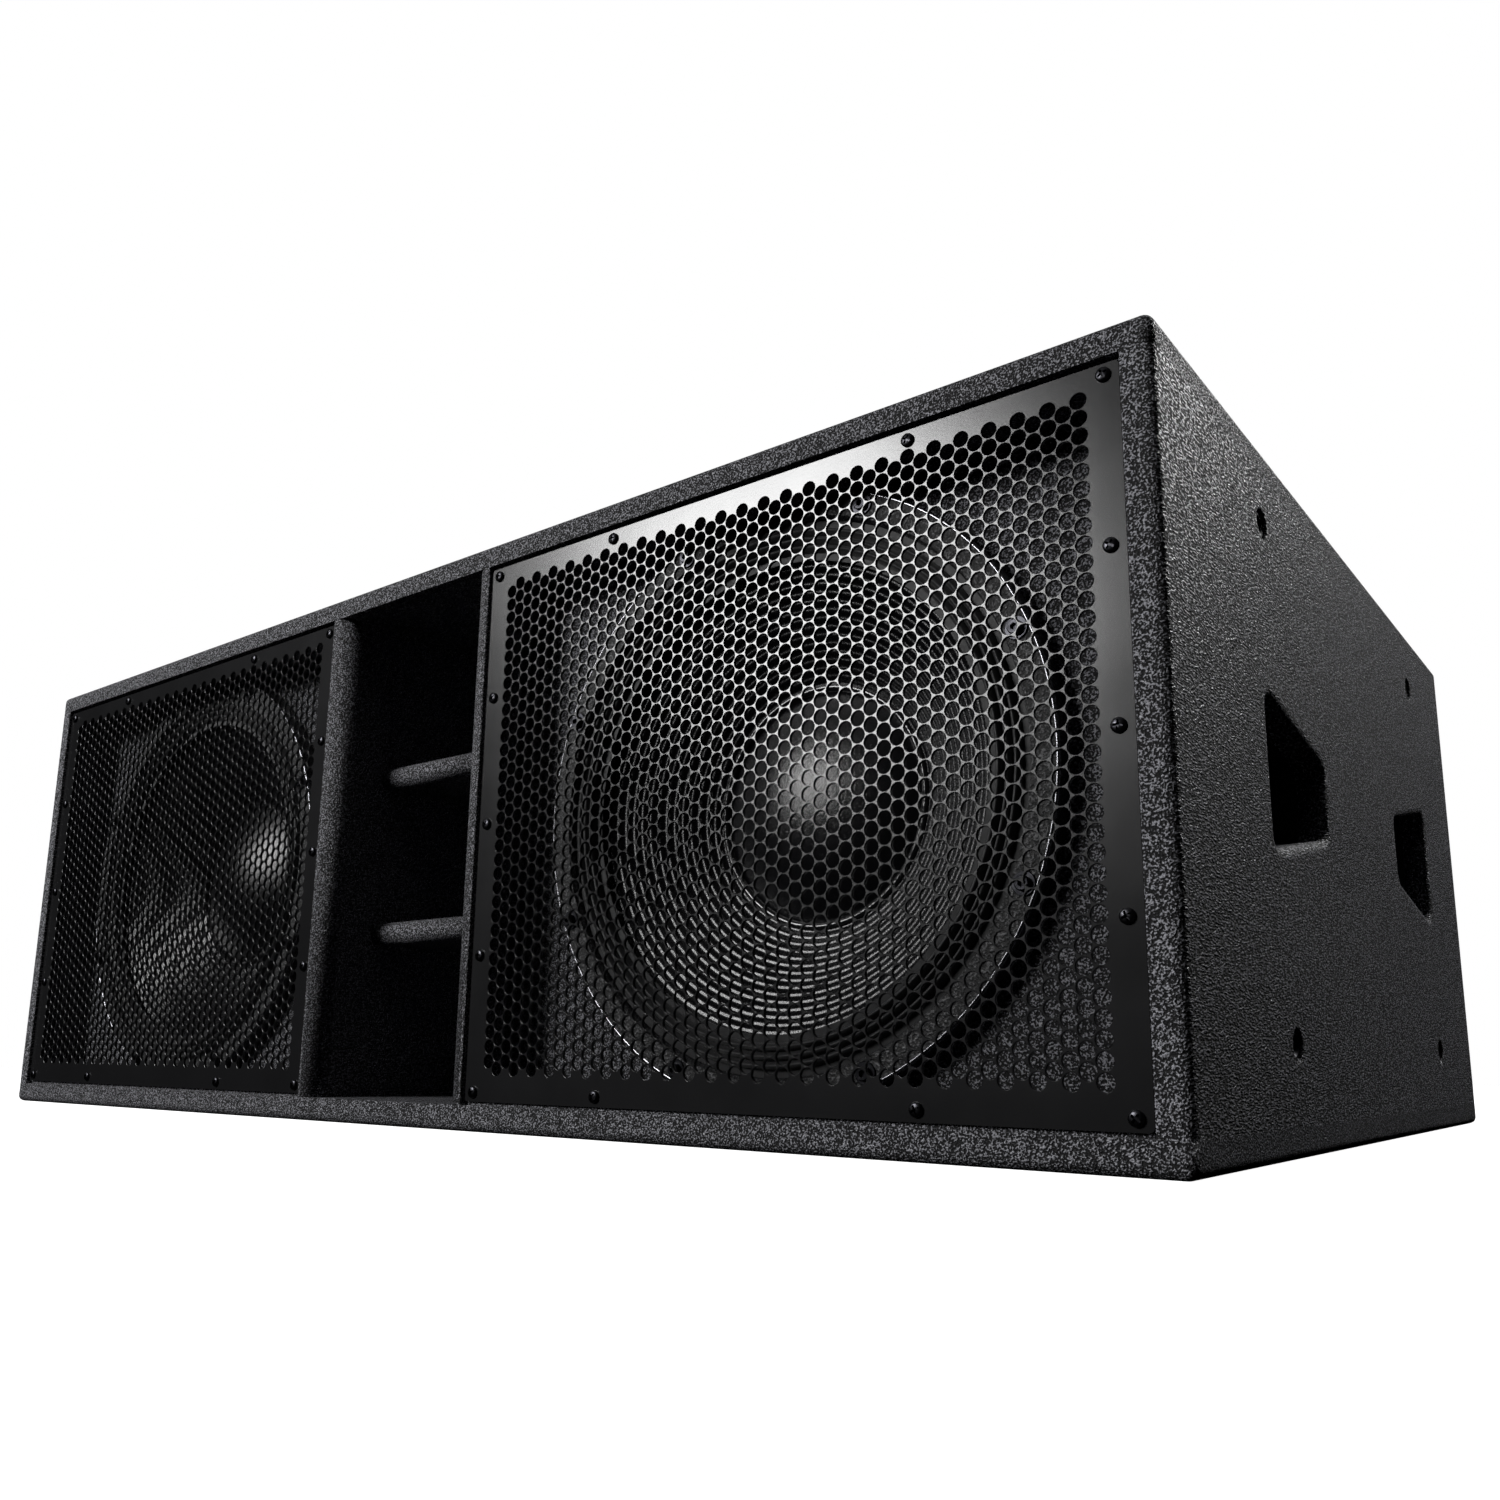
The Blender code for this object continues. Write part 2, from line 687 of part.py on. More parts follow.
def add_suspension(side, axis):
    """Surround and spider, which flex between the basket and the cone."""
    top = seat_z + GAP + SURROUND_WALL
    rim = SURROUND_RIM
    profile = rolled_strip(
        surround_inner, surround_outer, top, SURROUND_WALL, rim, rim, SURROUND_ROLLS, SURROUND_RISE
    )
    turned(f"{side}_surround", profile, "treated_cloth", DRIVER_STEPS, axis)
    inner = neck_radius
    profile = rolled_strip(
        inner, spider_outer, spider_z, SPIDER_WALL, SPIDER_RIM / 2, SPIDER_RIM, SPIDER_ROLLS, SPIDER_RISE
    )
    turned(f"{side}_spider", profile, "amber_cloth", DRIVER_STEPS, axis)


def add_motor(side, axis):
    back = top_plate_front - TOP_PLATE
    finish = "plated_steel"
    bore = plate_bore_radius
    ring(f"{side}_top_plate", plate_radius, bore, top_plate_front, back, finish, DRIVER_STEPS, axis)
    back = magnet_front - MAGNET
    bore = magnet_bore_radius
    ring(f"{side}_magnet", magnet_radius, bore, magnet_front, back, "ferrite", DRIVER_STEPS, axis)
    pole = [
        (pole_radius, top_plate_front),
        (pole_radius, back_plate_front),
        (plate_radius, back_plate_front),
        (plate_radius, back_plate_back),
        (POLE_VENT_RADIUS, back_plate_back),
        (POLE_VENT_RADIUS, top_plate_front),
    ]
    turned(f"{side}_pole_piece", pole, finish, DRIVER_STEPS, axis)


def terminal_span():
    """The terminal block's distance from the axis, near and far, below the basket's foot."""
    near = spider_seat_outer + 2 * BASKET_WALL + TERMINAL_STANDOFF
    return near, near + TERMINAL_HEIGHT


def terminal_stations():
    back = top_plate_front + GAP
    return back, back + TERMINAL_LENGTH


def add_terminal(side, axis):
    near, far = terminal_span()
    back, front = terminal_stations()
    half = TERMINAL_WIDTH / 2
    name = f"{side}_terminal_block"
    mesh = box_mesh(name, (-half, -far, back), (half, -near, front))
    add_part(name, mesh, "black_plastic", axis)


# Rear connections


def dish_section(depth, grow):
    outline = rounded_outline(rectangle(DISH_WIDTH, DISH_HEIGHT), DISH_CORNER, grow)
    return [(point.x, y_at(depth), HEIGHT / 2 + point.y) for point in outline]


def cut_dish_seat(panel):
    """A through hole for the dish's cup and a rebate that sets its flange flush."""
    inside = DEPTH - PANEL - PANEL
    outside = DEPTH + PANEL
    rebate = DEPTH - DISH_WALL - GAP
    hole_grow = DISH_WALL + GAP
    sections = [dish_section(inside, hole_grow), dish_section(outside, hole_grow)]
    cut(panel, "dish_hole_cutter", loft_mesh("dish_hole_cutter", sections))
    rebate_grow = DISH_FLANGE + GAP
    sections = [dish_section(rebate, rebate_grow), dish_section(outside, rebate_grow)]
    cut(panel, "dish_rebate_cutter", loft_mesh("dish_rebate_cutter", sections))


def add_input_dish():
    floor = DEPTH - DISH_DEPTH
    stations = [
        (floor, -DISH_DRAFT),
        (DEPTH, 0.0),
        (DEPTH, DISH_FLANGE),
        (DEPTH - DISH_WALL, DISH_FLANGE),
        (DEPTH - DISH_WALL, DISH_WALL),
        (floor - DISH_WALL, DISH_WALL - DISH_DRAFT),
    ]
    sections = [dish_section(depth, grow) for depth, grow in stations]
    dish = add_part("input_dish", loft_mesh("input_dish", sections), "powder_coated_steel")
    hole_radius = SOCKET_RADIUS + GAP
    rim_top = SOCKET_RIM + GAP
    bore_floor = rim_top - SOCKET_BORE_DEPTH
    outline = [
        (0.0, rim_top),
        (SOCKET_POST_RADIUS, rim_top),
        (SOCKET_POST_RADIUS, bore_floor),
        (SOCKET_BORE_RADIUS, bore_floor),
        (SOCKET_BORE_RADIUS, rim_top),
        (SOCKET_RIM_RADIUS, rim_top),
        (SOCKET_RIM_RADIUS, GAP),
        (SOCKET_RADIUS, GAP),
        (SOCKET_RADIUS, rim_top - SOCKET_LENGTH),
        (0.0, rim_top - SOCKET_LENGTH),
    ]
    for name, sign in (("input_socket", -1), ("link_socket", 1)):
        x = sign * SOCKET_PITCH / 2
        start = (x, y_at(floor - PANEL), HEIGHT / 2)
        end = (x, y_at(floor + PANEL), HEIGHT / 2)
        mesh = cylinder_mesh(f"{name}_hole", hole_radius, start, end, SMALL_STEPS)
        cut(dish, f"{name}_hole_cutter", mesh)
        socket = turned(name, outline, "black_plastic", SMALL_STEPS, closed=False)
        socket.location = (x, y_at(floor), HEIGHT / 2)
        socket.rotation_euler = (-math.pi / 2, 0.0, 0.0)


def smooth_route(anchors):
    """Points along a Catmull-Rom curve through the anchors."""
    anchors = [Vector(anchor) for anchor in anchors]
    ends = [2 * anchors[0] - anchors[1], *anchors, 2 * anchors[-1] - anchors[-2]]
    points = []
    for before, start, end, after in zip(ends, ends[1:], ends[2:], ends[3:]):
        for step in range(CABLE_POINTS_PER_SPAN):
            t = step / CABLE_POINTS_PER_SPAN
            bend = 2 * before - 5 * start + 4 * end - after
            twist = 3 * start - before - 3 * end + after
            points.append((2 * start + (end - before) * t + bend * t**2 + twist * t**3) / 2)
    return [*points, anchors[-1]]


def add_speaker_cable(side, sign):
    """The lead from the input dish, round the divider and through the window brace to a driver."""
    socket_back = DEPTH - DISH_DEPTH + SOCKET_RIM + GAP - SOCKET_LENGTH
    start_x = sign * SOCKET_PITCH / 2
    back, front = terminal_stations()
    terminal_depth = baffle_depth - (back + front) / 2
    terminal_low = driver_z - terminal_span()[1] - GAP
    x = sign * driver_x
    start = (start_x, y_at(socket_back - GAP), HEIGHT / 2)
    end = (x, y_at(terminal_depth), terminal_low)
    anchors = [
        (start_x, y_at(socket_back - GAP - CABLE_STUB), HEIGHT / 2),
        (start_x, y_at(socket_back - CABLE_LEAD_OUT), HEIGHT / 2),
        (sign * chamber_inner, y_at(port_length + PORT_TURN / 3), (HEIGHT / 2 + CABLE_HEIGHT) / 2),
        ((x + sign * chamber_inner) / 2, y_at(port_length - PANEL), CABLE_HEIGHT),
        (x, y_at(WINDOW_BRACE_DEPTH + PANEL / 2), CABLE_HEIGHT),
        (x, y_at((WINDOW_BRACE_DEPTH + terminal_depth) / 2), CABLE_HEIGHT - 3 * CABLE_RADIUS),
        (x, y_at(terminal_depth), terminal_low - CABLE_STUB),
    ]
    route = [start, *smooth_route(anchors), end]
    curve = bpy.data.curves.new(f"{side}_speaker_cable", "CURVE")
    curve.dimensions = "3D"
    curve.bevel_depth = CABLE_RADIUS
    curve.bevel_resolution = 2
    curve.use_fill_caps = True
    spline = curve.splines.new("POLY")
    spline.points.add(len(route) - 1)
    for point, place in zip(spline.points, route):
        point.co = (*place, 1.0)
    add_part(f"{side}_speaker_cable", curve, "cable_sheath")


clear_scene()
part_collection = new_collection("pa_speaker_cabinet")
cutter_collection = new_collection("cutters")
add_panels()
add_port()
add_chamber_plates()
add_hand_pockets()
add_rigging_inserts()
add_input_dish()
for driver_side, driver_sign in SIDES.items():
    add_driver(driver_side, driver_sign)
    add_speaker_cable(driver_side, driver_sign)
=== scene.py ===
"""Dual 15-inch PA subwoofer cabinet: the finished surfaces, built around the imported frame.

Lengths are metres. +Y runs from the grilles to the back panel, +Z up.
"""

import math

import bmesh
import bpy
from mathutils import Euler, Matrix, Vector, geometry


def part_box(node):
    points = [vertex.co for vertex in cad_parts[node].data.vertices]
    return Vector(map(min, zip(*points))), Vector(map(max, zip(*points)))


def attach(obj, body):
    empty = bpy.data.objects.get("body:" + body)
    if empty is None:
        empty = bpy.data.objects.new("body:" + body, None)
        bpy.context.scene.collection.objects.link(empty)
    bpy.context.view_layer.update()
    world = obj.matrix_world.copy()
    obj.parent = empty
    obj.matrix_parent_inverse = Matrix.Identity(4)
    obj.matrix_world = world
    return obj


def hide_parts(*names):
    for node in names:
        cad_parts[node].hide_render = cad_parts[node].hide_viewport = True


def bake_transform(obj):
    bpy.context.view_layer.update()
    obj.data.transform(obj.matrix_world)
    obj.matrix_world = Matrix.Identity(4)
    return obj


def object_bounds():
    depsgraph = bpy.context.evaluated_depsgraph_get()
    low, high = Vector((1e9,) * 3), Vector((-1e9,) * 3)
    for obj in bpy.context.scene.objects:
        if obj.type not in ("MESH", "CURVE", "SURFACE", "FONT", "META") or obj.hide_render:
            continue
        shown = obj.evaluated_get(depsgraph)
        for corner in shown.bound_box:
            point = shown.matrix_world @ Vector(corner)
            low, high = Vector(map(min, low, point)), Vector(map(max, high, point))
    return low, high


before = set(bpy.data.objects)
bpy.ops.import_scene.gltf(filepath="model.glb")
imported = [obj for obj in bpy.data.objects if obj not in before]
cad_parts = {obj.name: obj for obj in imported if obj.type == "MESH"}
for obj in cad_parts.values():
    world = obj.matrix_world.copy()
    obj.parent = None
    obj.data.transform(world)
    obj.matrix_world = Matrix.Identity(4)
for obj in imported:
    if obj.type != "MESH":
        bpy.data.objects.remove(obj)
cad_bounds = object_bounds()

# Camera
CAMERA_PLACE = (0.8071, -0.9565, 0.0539)
CAMERA_TURN = (100.915, -0.618, 37.707)
CAMERA_LENS = 29.868
CAMERA_SHIFT = (-0.0060, 0.0438)

# Cabinet edges
EDGE_ROUNDING = 0.006
INNER_EDGE_ROUNDING = 0.001
DIVIDER_ROUNDING = 0.015
BRACE_ROUNDING = 0.0085
EDGE_SEGMENTS = 6

# Hand holes
HAND_HOLE_TALL = 0.094
HAND_HOLE_SHORT = 0.0475
HAND_HOLE_CORNER = 0.009
HAND_HOLE_ROUNDING = 0.007
POCKET_FLANGE = 0.018
POCKET_WALL = 0.0035
POCKET_DRAFT = 0.006
CORNER_STEPS = 8

# Grilles
HOLE_RADIUS = 0.00465
HOLE_EDGE = 0.0003
HOLE_SIDES = 14
HOLE_PITCH = 0.01006
HOLES_IN_COLUMN = 36
COLUMN_PAIRS = 26
FIELD_RISE = 0.003
CELL_WELD = 0.00002
SHEET_CORNER = 0.003
BATTEN_WIDTH = 0.0138
SCREW_SIDE_INSET = 0.0092
SCREW_END_INSET = 0.0087
SCREW_ROWS = 5
SCREW_TOP_SPACING = 0.11825

# Screws
SCREW_HEAD_RADIUS = 0.0041
SCREW_HEAD_RISE = 0.0024
SCREW_CROWN_STEPS = 6
SCREW_RIM_SHARE = 0.35  # the head's rim height, as a share of its rise
SCREW_SLOT_REACH = 0.66  # the cross recess's half length and half width, as shares of the radius
SCREW_SLOT_WIDTH = 0.17
SCREW_SLOT_FLOOR = 0.2  # the recess's floor, as a share of the rise
SCREW_SLOT_TURN = 0.4
SCREW_TURN = 2.1  # how far each screw's recess is turned from the one before

# Rigging inserts
INSERT_HOLE_RADIUS = 0.0095
INSERT_HOLE_LIP = 0.0015
INSERT_RADIUS = 0.0090
INSERT_EDGE = 0.0008
INSERT_FLANGE_RADIUS = 0.0138
INSERT_FLANGE = 0.0020
THREAD_TURNS = 12
THREAD_CREST = 0.0045
THREAD_ROOT = 0.0050

# Drivers: places on a section are (radius, height in front of the baffle)
TURN_STEPS = 120
MOTOR_STEPS = 96
SMALL_STEPS = 32
CUTOUT_RADIUS = 0.1765
GASKET_SECTION = [(0.194, 0.0023), (0.194, 0.0003), (CUTOUT_RADIUS, 0.0003), (CUTOUT_RADIUS, 0.0023)]
FLANGE_FRONT = 0.0146
FLANGE_RIM = (0.1922, 0.0128)
FLANGE_RIM_ROUNDING = 0.0018
BARE_EDGE = (0.1928, 0.0136)
BARE_EDGE_RADIUS = 0.0013
BASKET_WINDOWS = 6
WINDOW_BOX = ((0.0953, -0.035, -0.0640), (0.179, 0.035, -0.0124))
WINDOW_CORNER = 0.008
BOLT_COUNT = 8
BOLT_CIRCLE = 0.1855
BOLT_HEAD_RADIUS = 0.0043
BOLT_HEAD_RISE = 0.0042
BOLT_HEAD_EDGE = 0.0006
BOLT_SOCKET_RADIUS = 0.0022
WASHER_RADIUS = 0.0070
WASHER_RISE = 0.0011
WASHER_EDGE = 0.0004
CONE_RIM = (0.1560, 0.0076)
CONE_NECK = (0.0508, -0.0640)
CONE_WALL = 0.00156
CONE_RIBS = 21
CONE_RIB_RISE = 0.0009
STEPS_PER_RIB = 8
PLAIN_RIM_SHARE = 0.06  # the share of the cone, from its rim, that has no ribs
CAP_RADIUS = 0.0785
CAP_RISE = 0.023
CAP_WALL = 0.0012
CAP_GLUE_GAP = 0.0003
CAP_STEPS = 16
GLUE_BEAD_RADIUS = 0.0029
GLUE_BEAD_OFFSET = (0.0014, 0.0018)
SURROUND = {"inner": 0.1500, "outer": 0.1755, "z": 0.0091, "wall": 0.0012}
SURROUND_ROLLS = {"rolls": 3, "rise": 0.0052, "rim": 0.0045, "steps": 36}
SURROUND_FLEX = (0.1560, 0.1700)  # two radii of the surround, handed to blend_outwards
SPIDER = {"inner": 0.0508, "outer": 0.1028, "z": -0.0735, "wall": 0.0008}
SPIDER_ROLLS = {"rolls": 5, "rise": 0.0024, "rim": 0.0040, "steps": 60}
SPIDER_FLEX = (0.0560, 0.0960)

# Rear connections
DISH_FLANGE = 0.015
DISH_WALL = 0.003
DISH_DRAFT = 0.004
DISH_CORNER = 0.012
DISH_CLEARANCE = 0.0003
SOCKET_HOLE_RADIUS = 0.0123

# Studio
FLOOR_RADIUS = 3.2
FLOOR_GLOW = 1.0
FLOOR_FADE = (0.35, 0.95)  # the fade's start and end, as shares of the radius
LIGHTS = {
    # name: place, target, size, power
    "key_softbox": ((-1.758, -3.445, 1.766), (0.35, -0.378, 0.3), (1.66, 1.41), 135.0),
    "side_softbox": ((1.30, 1.35, 1.75), (0.61, -0.3, 0.3), (0.7, 0.7), 26.0),
    "rear_fill": ((-1.7, 3.0, 1.7), (0.0, 0.38, 0.2), (1.6, 1.6), 34.0),
    "top_fill": ((0.0, -1.0, 3.2), (0.0, 0.0, 0.2), (4.0, 3.0), 9.0),
}

SIDES = {"left": -1, "right": 1}
ENDS = ("front", "rear")
LEVELS = ("upper", "lower")
ROOT = "cabinet"
SIDE_GRAIN = (1.0, 0.35, 1.0)  # draws the coating's grain longer from front to back
FORWARDS = Matrix.Rotation(math.pi / 2, 4, "X")  # local +Z faces the listener
BACKWARDS = Matrix.Rotation(-math.pi / 2, 4, "X")


# Shader building


class Value:
    """A shader output that joins in sums: each sign adds a Math node."""

    def __init__(self, tree, socket):
        self.tree = tree
        self.socket = socket

    def maths(self, operation, *values):
        node = self.tree.nodes.new("ShaderNodeMath")
        node.operation = operation
        for socket, value in zip(node.inputs, values):
            feed(self.tree, socket, value)
        return Value(self.tree, node.outputs[0])

    def __add__(self, other):
        return self.maths("ADD", self, other)

    def __sub__(self, other):
        return self.maths("SUBTRACT", self, other)

    def __mul__(self, other):
        return self.maths("MULTIPLY", self, other)

    def __rsub__(self, other):
        return self.maths("SUBTRACT", other, self)

    __radd__ = __add__
    __rmul__ = __mul__


def feed(tree, socket, value):
    """Links a value to a socket, or sets the socket to a plain number, colour or vector."""
    if isinstance(value, Value):
        tree.links.new(value.socket, socket)
    else:
        socket.default_value = value


class Finish:
    """One procedural material on a Principled shader."""

    def __init__(self, name, **constants):
        self.material = bpy.data.materials.new(name)
        self.material.use_nodes = True
        self.tree = self.material.node_tree
        self.shader = self.tree.nodes["Principled BSDF"]
        for socket, value in constants.items():
            self.set(socket.replace("_", " "), value)
        self.place = self.node("TexCoord", output="Object")

    def node(self, kind, settings=None, output=0, **inputs):
        """Adds any node: its settings first, then the values or links of its sockets."""
        node = self.tree.nodes.new("ShaderNode" + kind)
        for name, value in (settings or {}).items():
            setattr(node, name, value)
        for name, value in inputs.items():
            feed(self.tree, node.inputs[name], value)
        return Value(self.tree, node.outputs[output])

    def set(self, socket, value):
        feed(self.tree, self.shader.inputs[socket], value)

    def noise(self, scale, detail=2.0, roughness=0.5, stretch=None):
        place = self.place
        if stretch:
            place = self.node("Mapping", Vector=place, Scale=stretch)
        return self.node("TexNoise", Vector=place, Scale=scale, Detail=detail, Roughness=roughness)

    def ramp(self, value, *stops):
        """Maps a value through (place, level) stops to a level."""
        node = self.tree.nodes.new("ShaderNodeValToRGB")
        elements = node.color_ramp.elements
        for element, (place, level) in zip(elements, stops):
            element.position = place
            element.color = (level, level, level, 1.0)
        for place, level in stops[2:]:
            elements.new(place).color = (level, level, level, 1.0)
        feed(self.tree, node.inputs["Fac"], value)
        return Value(self.tree, node.outputs["Color"])

    def mix(self, factor, dark, light):
        """A colour between two colours."""
        node = self.tree.nodes.new("ShaderNodeMix")
        node.data_type = "RGBA"
        feed(self.tree, node.inputs["Factor"], factor)
        feed(self.tree, node.inputs[6], (*dark, 1.0) if isinstance(dark, tuple) else dark)
        feed(self.tree, node.inputs[7], (*light, 1.0) if isinstance(light, tuple) else light)
        return Value(self.tree, node.outputs[2])

    def bump(self, height, strength, distance):
        normal = self.node("Bump", Height=height, Strength=strength, Distance=distance)
        self.set("Normal", normal)


def sprayed_coating(name, painted_glint_grey, stretch=None):
    """Hard sprayed coating: packed grains of about a millimetre, their crests painted light grey as
    glints.
    """
    finish = Finish(name, Specular_IOR_Level=0.5)
    grains = finish.noise(880.0, 1.0, 0.5, stretch)
    clumps = finish.noise(500.0, 1.0, 0.5, stretch)
    height = grains * 0.85 + clumps * 0.15
    painted_glint_crest = finish.ramp(height, (0.515, 0.0), (0.60, 1.0))
    wear = finish.noise(9.0, 3.0, 0.6)
    base = finish.mix(wear, (0.0010, 0.0010, 0.0015), (0.0025, 0.0025, 0.0035))
    # Painted glints: the grain crests are painted light grey in the base colour, standing in for the
    # sparkle the lights make on the grains.
    finish.set("Base Color", finish.mix(painted_glint_crest, base, (painted_glint_grey, painted_glint_grey, painted_glint_grey * 1.10)))
    finish.set("Roughness", finish.ramp(height, (0.46, 0.85), (0.62, 0.30)))
    finish.bump(height, 1.0, 0.0020)
    return finish.material


def powder_coat():
    """Satin black powder coat with a fine orange peel."""
    finish = Finish("powder_coat", Specular_IOR_Level=0.5)
    peel = finish.noise(900.0, 2.0, 0.5)
    haze = finish.noise(14.0, 3.0, 0.6)
    finish.set("Base Color", finish.mix(haze, (0.009, 0.009, 0.0095), (0.012, 0.012, 0.013)))
    finish.set("Roughness", 0.17 + haze * 0.08)
    finish.bump(peel, 0.08, 0.0002)
    return finish.material


def moulded_plastic():
    finish = Finish("moulded_plastic", Specular_IOR_Level=0.4)
    grain = finish.noise(1500.0, 2.0, 0.5)
    scuff = finish.noise(25.0, 4.0, 0.6)
    finish.set("Base Color", finish.mix(scuff, (0.022, 0.022, 0.024), (0.034, 0.034, 0.037)))
    finish.set("Roughness", 0.42 + scuff * 0.16)
    finish.bump(grain, 0.25, 0.0002)
    return finish.material


def cast_metal():
    """A casting under a textured black paint, its grain crests painted light grey as glints."""
    finish = Finish("painted_casting", Specular_IOR_Level=0.5)
    grain = finish.noise(700.0, 1.0, 0.5)
    painted_glint_crest = finish.ramp(grain, (0.52, 0.0), (0.64, 1.0))
    # Painted glints: the grain crests are painted light grey in the base colour.
    finish.set("Base Color", finish.mix(painted_glint_crest, (0.002, 0.002, 0.0025), (0.075, 0.075, 0.08)))
    finish.set("Roughness", 0.60 - painted_glint_crest * 0.2)
    finish.bump(grain, 1.0, 0.0010)
    return finish.material


def pressed_paper(name, roughness, fibre_bump):
    """Coated cone paper: fibres under a thin lacquer."""
    finish = Finish(name, Specular_IOR_Level=0.6)
    fibre = finish.noise(620.0, 3.0, 0.7)
    cloud = finish.noise(38.0, 3.0, 0.6)
    finish.set("Base Color", finish.mix(cloud, (0.002, 0.002, 0.003), (0.006, 0.006, 0.007)))
    finish.set("Roughness", roughness + fibre * 0.16)
    finish.bump(fibre, fibre_bump, 0.0005)
    return finish.material


def doped_cloth():
    finish = Finish("doped_cloth", Specular_IOR_Level=0.5, Sheen_Weight=0.15)
    weave = finish.node("TexWave", Vector=finish.place, Scale=900.0, Distortion=0.4)
    weave = weave + finish.noise(800.0, 2.0, 0.5)
    cloud = finish.noise(60.0, 3.0, 0.6)
    finish.set("Base Color", finish.mix(cloud, (0.004, 0.004, 0.005), (0.010, 0.010, 0.011)))
    finish.set("Roughness", 0.34 + cloud * 0.2)
    finish.bump(weave, 0.3, 0.0002)
    return finish.material


def glue():
    finish = Finish("black_glue", Specular_IOR_Level=0.6)
    flow = finish.noise(160.0, 2.0, 0.5)
    finish.set("Base Color", finish.mix(flow, (0.006, 0.006, 0.007), (0.014, 0.014, 0.015)))
    finish.set("Roughness", 0.10 + flow * 0.12)
    finish.bump(flow, 0.5, 0.0006)
    return finish.material


def metal(name, colour, roughness, scale=600.0):
    """Machined or plated metal with fine turning marks."""
    finish = Finish(name, Metallic=1.0)
    marks = finish.noise(scale, 3.0, 0.6, (1.0, 1.0, 6.0))
    tint = tuple(0.75 * part for part in colour)
    finish.set("Base Color", finish.mix(marks, tint, colour))
    finish.set("Roughness", roughness + marks * 0.15)
    finish.bump(marks, 0.15, 0.0001)
    return finish.material


def mottled(name, dark, light, roughness, scale, bump_strength, bump_distance, detail=4.0):
    """A matt natural surface: two colours, with its grain as its relief."""
    finish = Finish(name)
    grain = finish.noise(scale, detail, 0.6)
    finish.set("Base Color", finish.mix(grain, dark, light))
    finish.set("Roughness", roughness - grain * 0.15)
    finish.bump(grain, bump_strength, bump_distance)
    return finish.material


def bare_birch():
    finish = Finish("bare_birch")
    rings = finish.noise(6.0, 4.0, 0.6, (1.0, 9.0, 9.0))
    pores = finish.noise(260.0, 3.0, 0.6, (0.15, 1.0, 1.0))
    grain = finish.mix(rings, (0.46, 0.31, 0.17), (0.66, 0.49, 0.31))
    finish.set("Base Color", finish.mix(pores, grain, (0.55, 0.40, 0.24)))
    finish.set("Roughness", 0.75 - pores * 0.2)
    finish.bump(pores, 0.2, 0.0003)
    return finish.material


# Mesh building


def node_box(name):
    low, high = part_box(name)
    return Vector(low), Vector(high)


def add_piece(name, bm, material, nodes=(), body=ROOT):
    """Makes a finished piece from a bmesh: it rides on a body and stands for its CAD nodes."""
    mesh = bpy.data.meshes.new(name)
    bm.to_mesh(mesh)
    bm.free()
    piece = bpy.data.objects.new(name, mesh)
    bpy.context.scene.collection.objects.link(piece)
    mesh.materials.append(material)
    if nodes:
        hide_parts(*nodes)
    if body:
        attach(piece, body)
    return piece


def smooth_curved(bm, faces=None):
    for face in bm.faces if faces is None else faces:
        face.smooth = True


def box_bmesh(low, high):
    low, high = Vector(low), Vector(high)
    bm = bmesh.new()
    bmesh.ops.create_cube(bm, size=1.0)
    bmesh.ops.scale(bm, vec=high - low, verts=bm.verts)
    bmesh.ops.translate(bm, vec=(low + high) / 2, verts=bm.verts)
    return bm


def round_edges(bm, picks, radius, segments=EDGE_SEGMENTS):
    """Rounds over the edges that picks chooses by their two ends, and smooths only the new faces."""
    edges = [edge for edge in bm.edges if picks(*(vert.co for vert in edge.verts))]
    made = bmesh.ops.bevel(
        bm, geom=edges, offset=radius, segments=segments, profile=0.5, affect="EDGES", material=-1
    )
    smooth_curved(bm, made["faces"])


def spin_profile(points, steps=TURN_STEPS, closed=True):
    """A solid turned about Z from (radius, z) points; an open profile starts and ends on the axis."""
    bm = bmesh.new()
    verts = [bm.verts.new((radius, 0.0, height)) for radius, height in points]
    pairs = list(zip(verts, verts[1:])) + ([(verts[-1], verts[0])] if closed else [])
    edges = [bm.edges.new(pair) for pair in pairs]
    bmesh.ops.spin(
        bm,
        geom=verts + edges,
        cent=(0, 0, 0),
        axis=(0, 0, 1),
        angle=2 * math.pi,
        steps=steps,
        use_merge=True,
        use_normal_flip=False,
        use_duplicate=False,
    )
    bmesh.ops.remove_doubles(bm, verts=bm.verts, dist=1e-6)
    bmesh.ops.recalc_face_normals(bm, faces=bm.faces)
    smooth_curved(bm)
    return bm


def sharpen(bm, degrees=35.0):
    """Marks the creases between smooth faces as sharp."""
    limit = math.radians(degrees)
    for edge in bm.edges:
        if len(edge.link_faces) == 2 and edge.calc_face_angle(0.0) > limit:
            edge.smooth = False


def place_bmesh(bm, place, turn=None):
    """Turns a bmesh made about the origin and moves it to its place."""
    matrix = Matrix.Translation(place)
    if turn is not None:
        matrix = matrix @ turn
    bmesh.ops.transform(bm, matrix=matrix, verts=bm.verts)
    return bm


def bore(radius, reach):
    """The section of a cylinder that reaches as far either side of its place."""
    return [(0.0, reach), (radius, reach), (radius, -reach), (0.0, -reach)]


def turned(points, place, turn=FORWARDS, steps=TURN_STEPS, closed=True, crease=35.0):
    """A spun profile with its creases marked, turned and set at its place."""
    bm = spin_profile(points, steps, closed)
    sharpen(bm, crease)
    return place_bmesh(bm, place, turn)


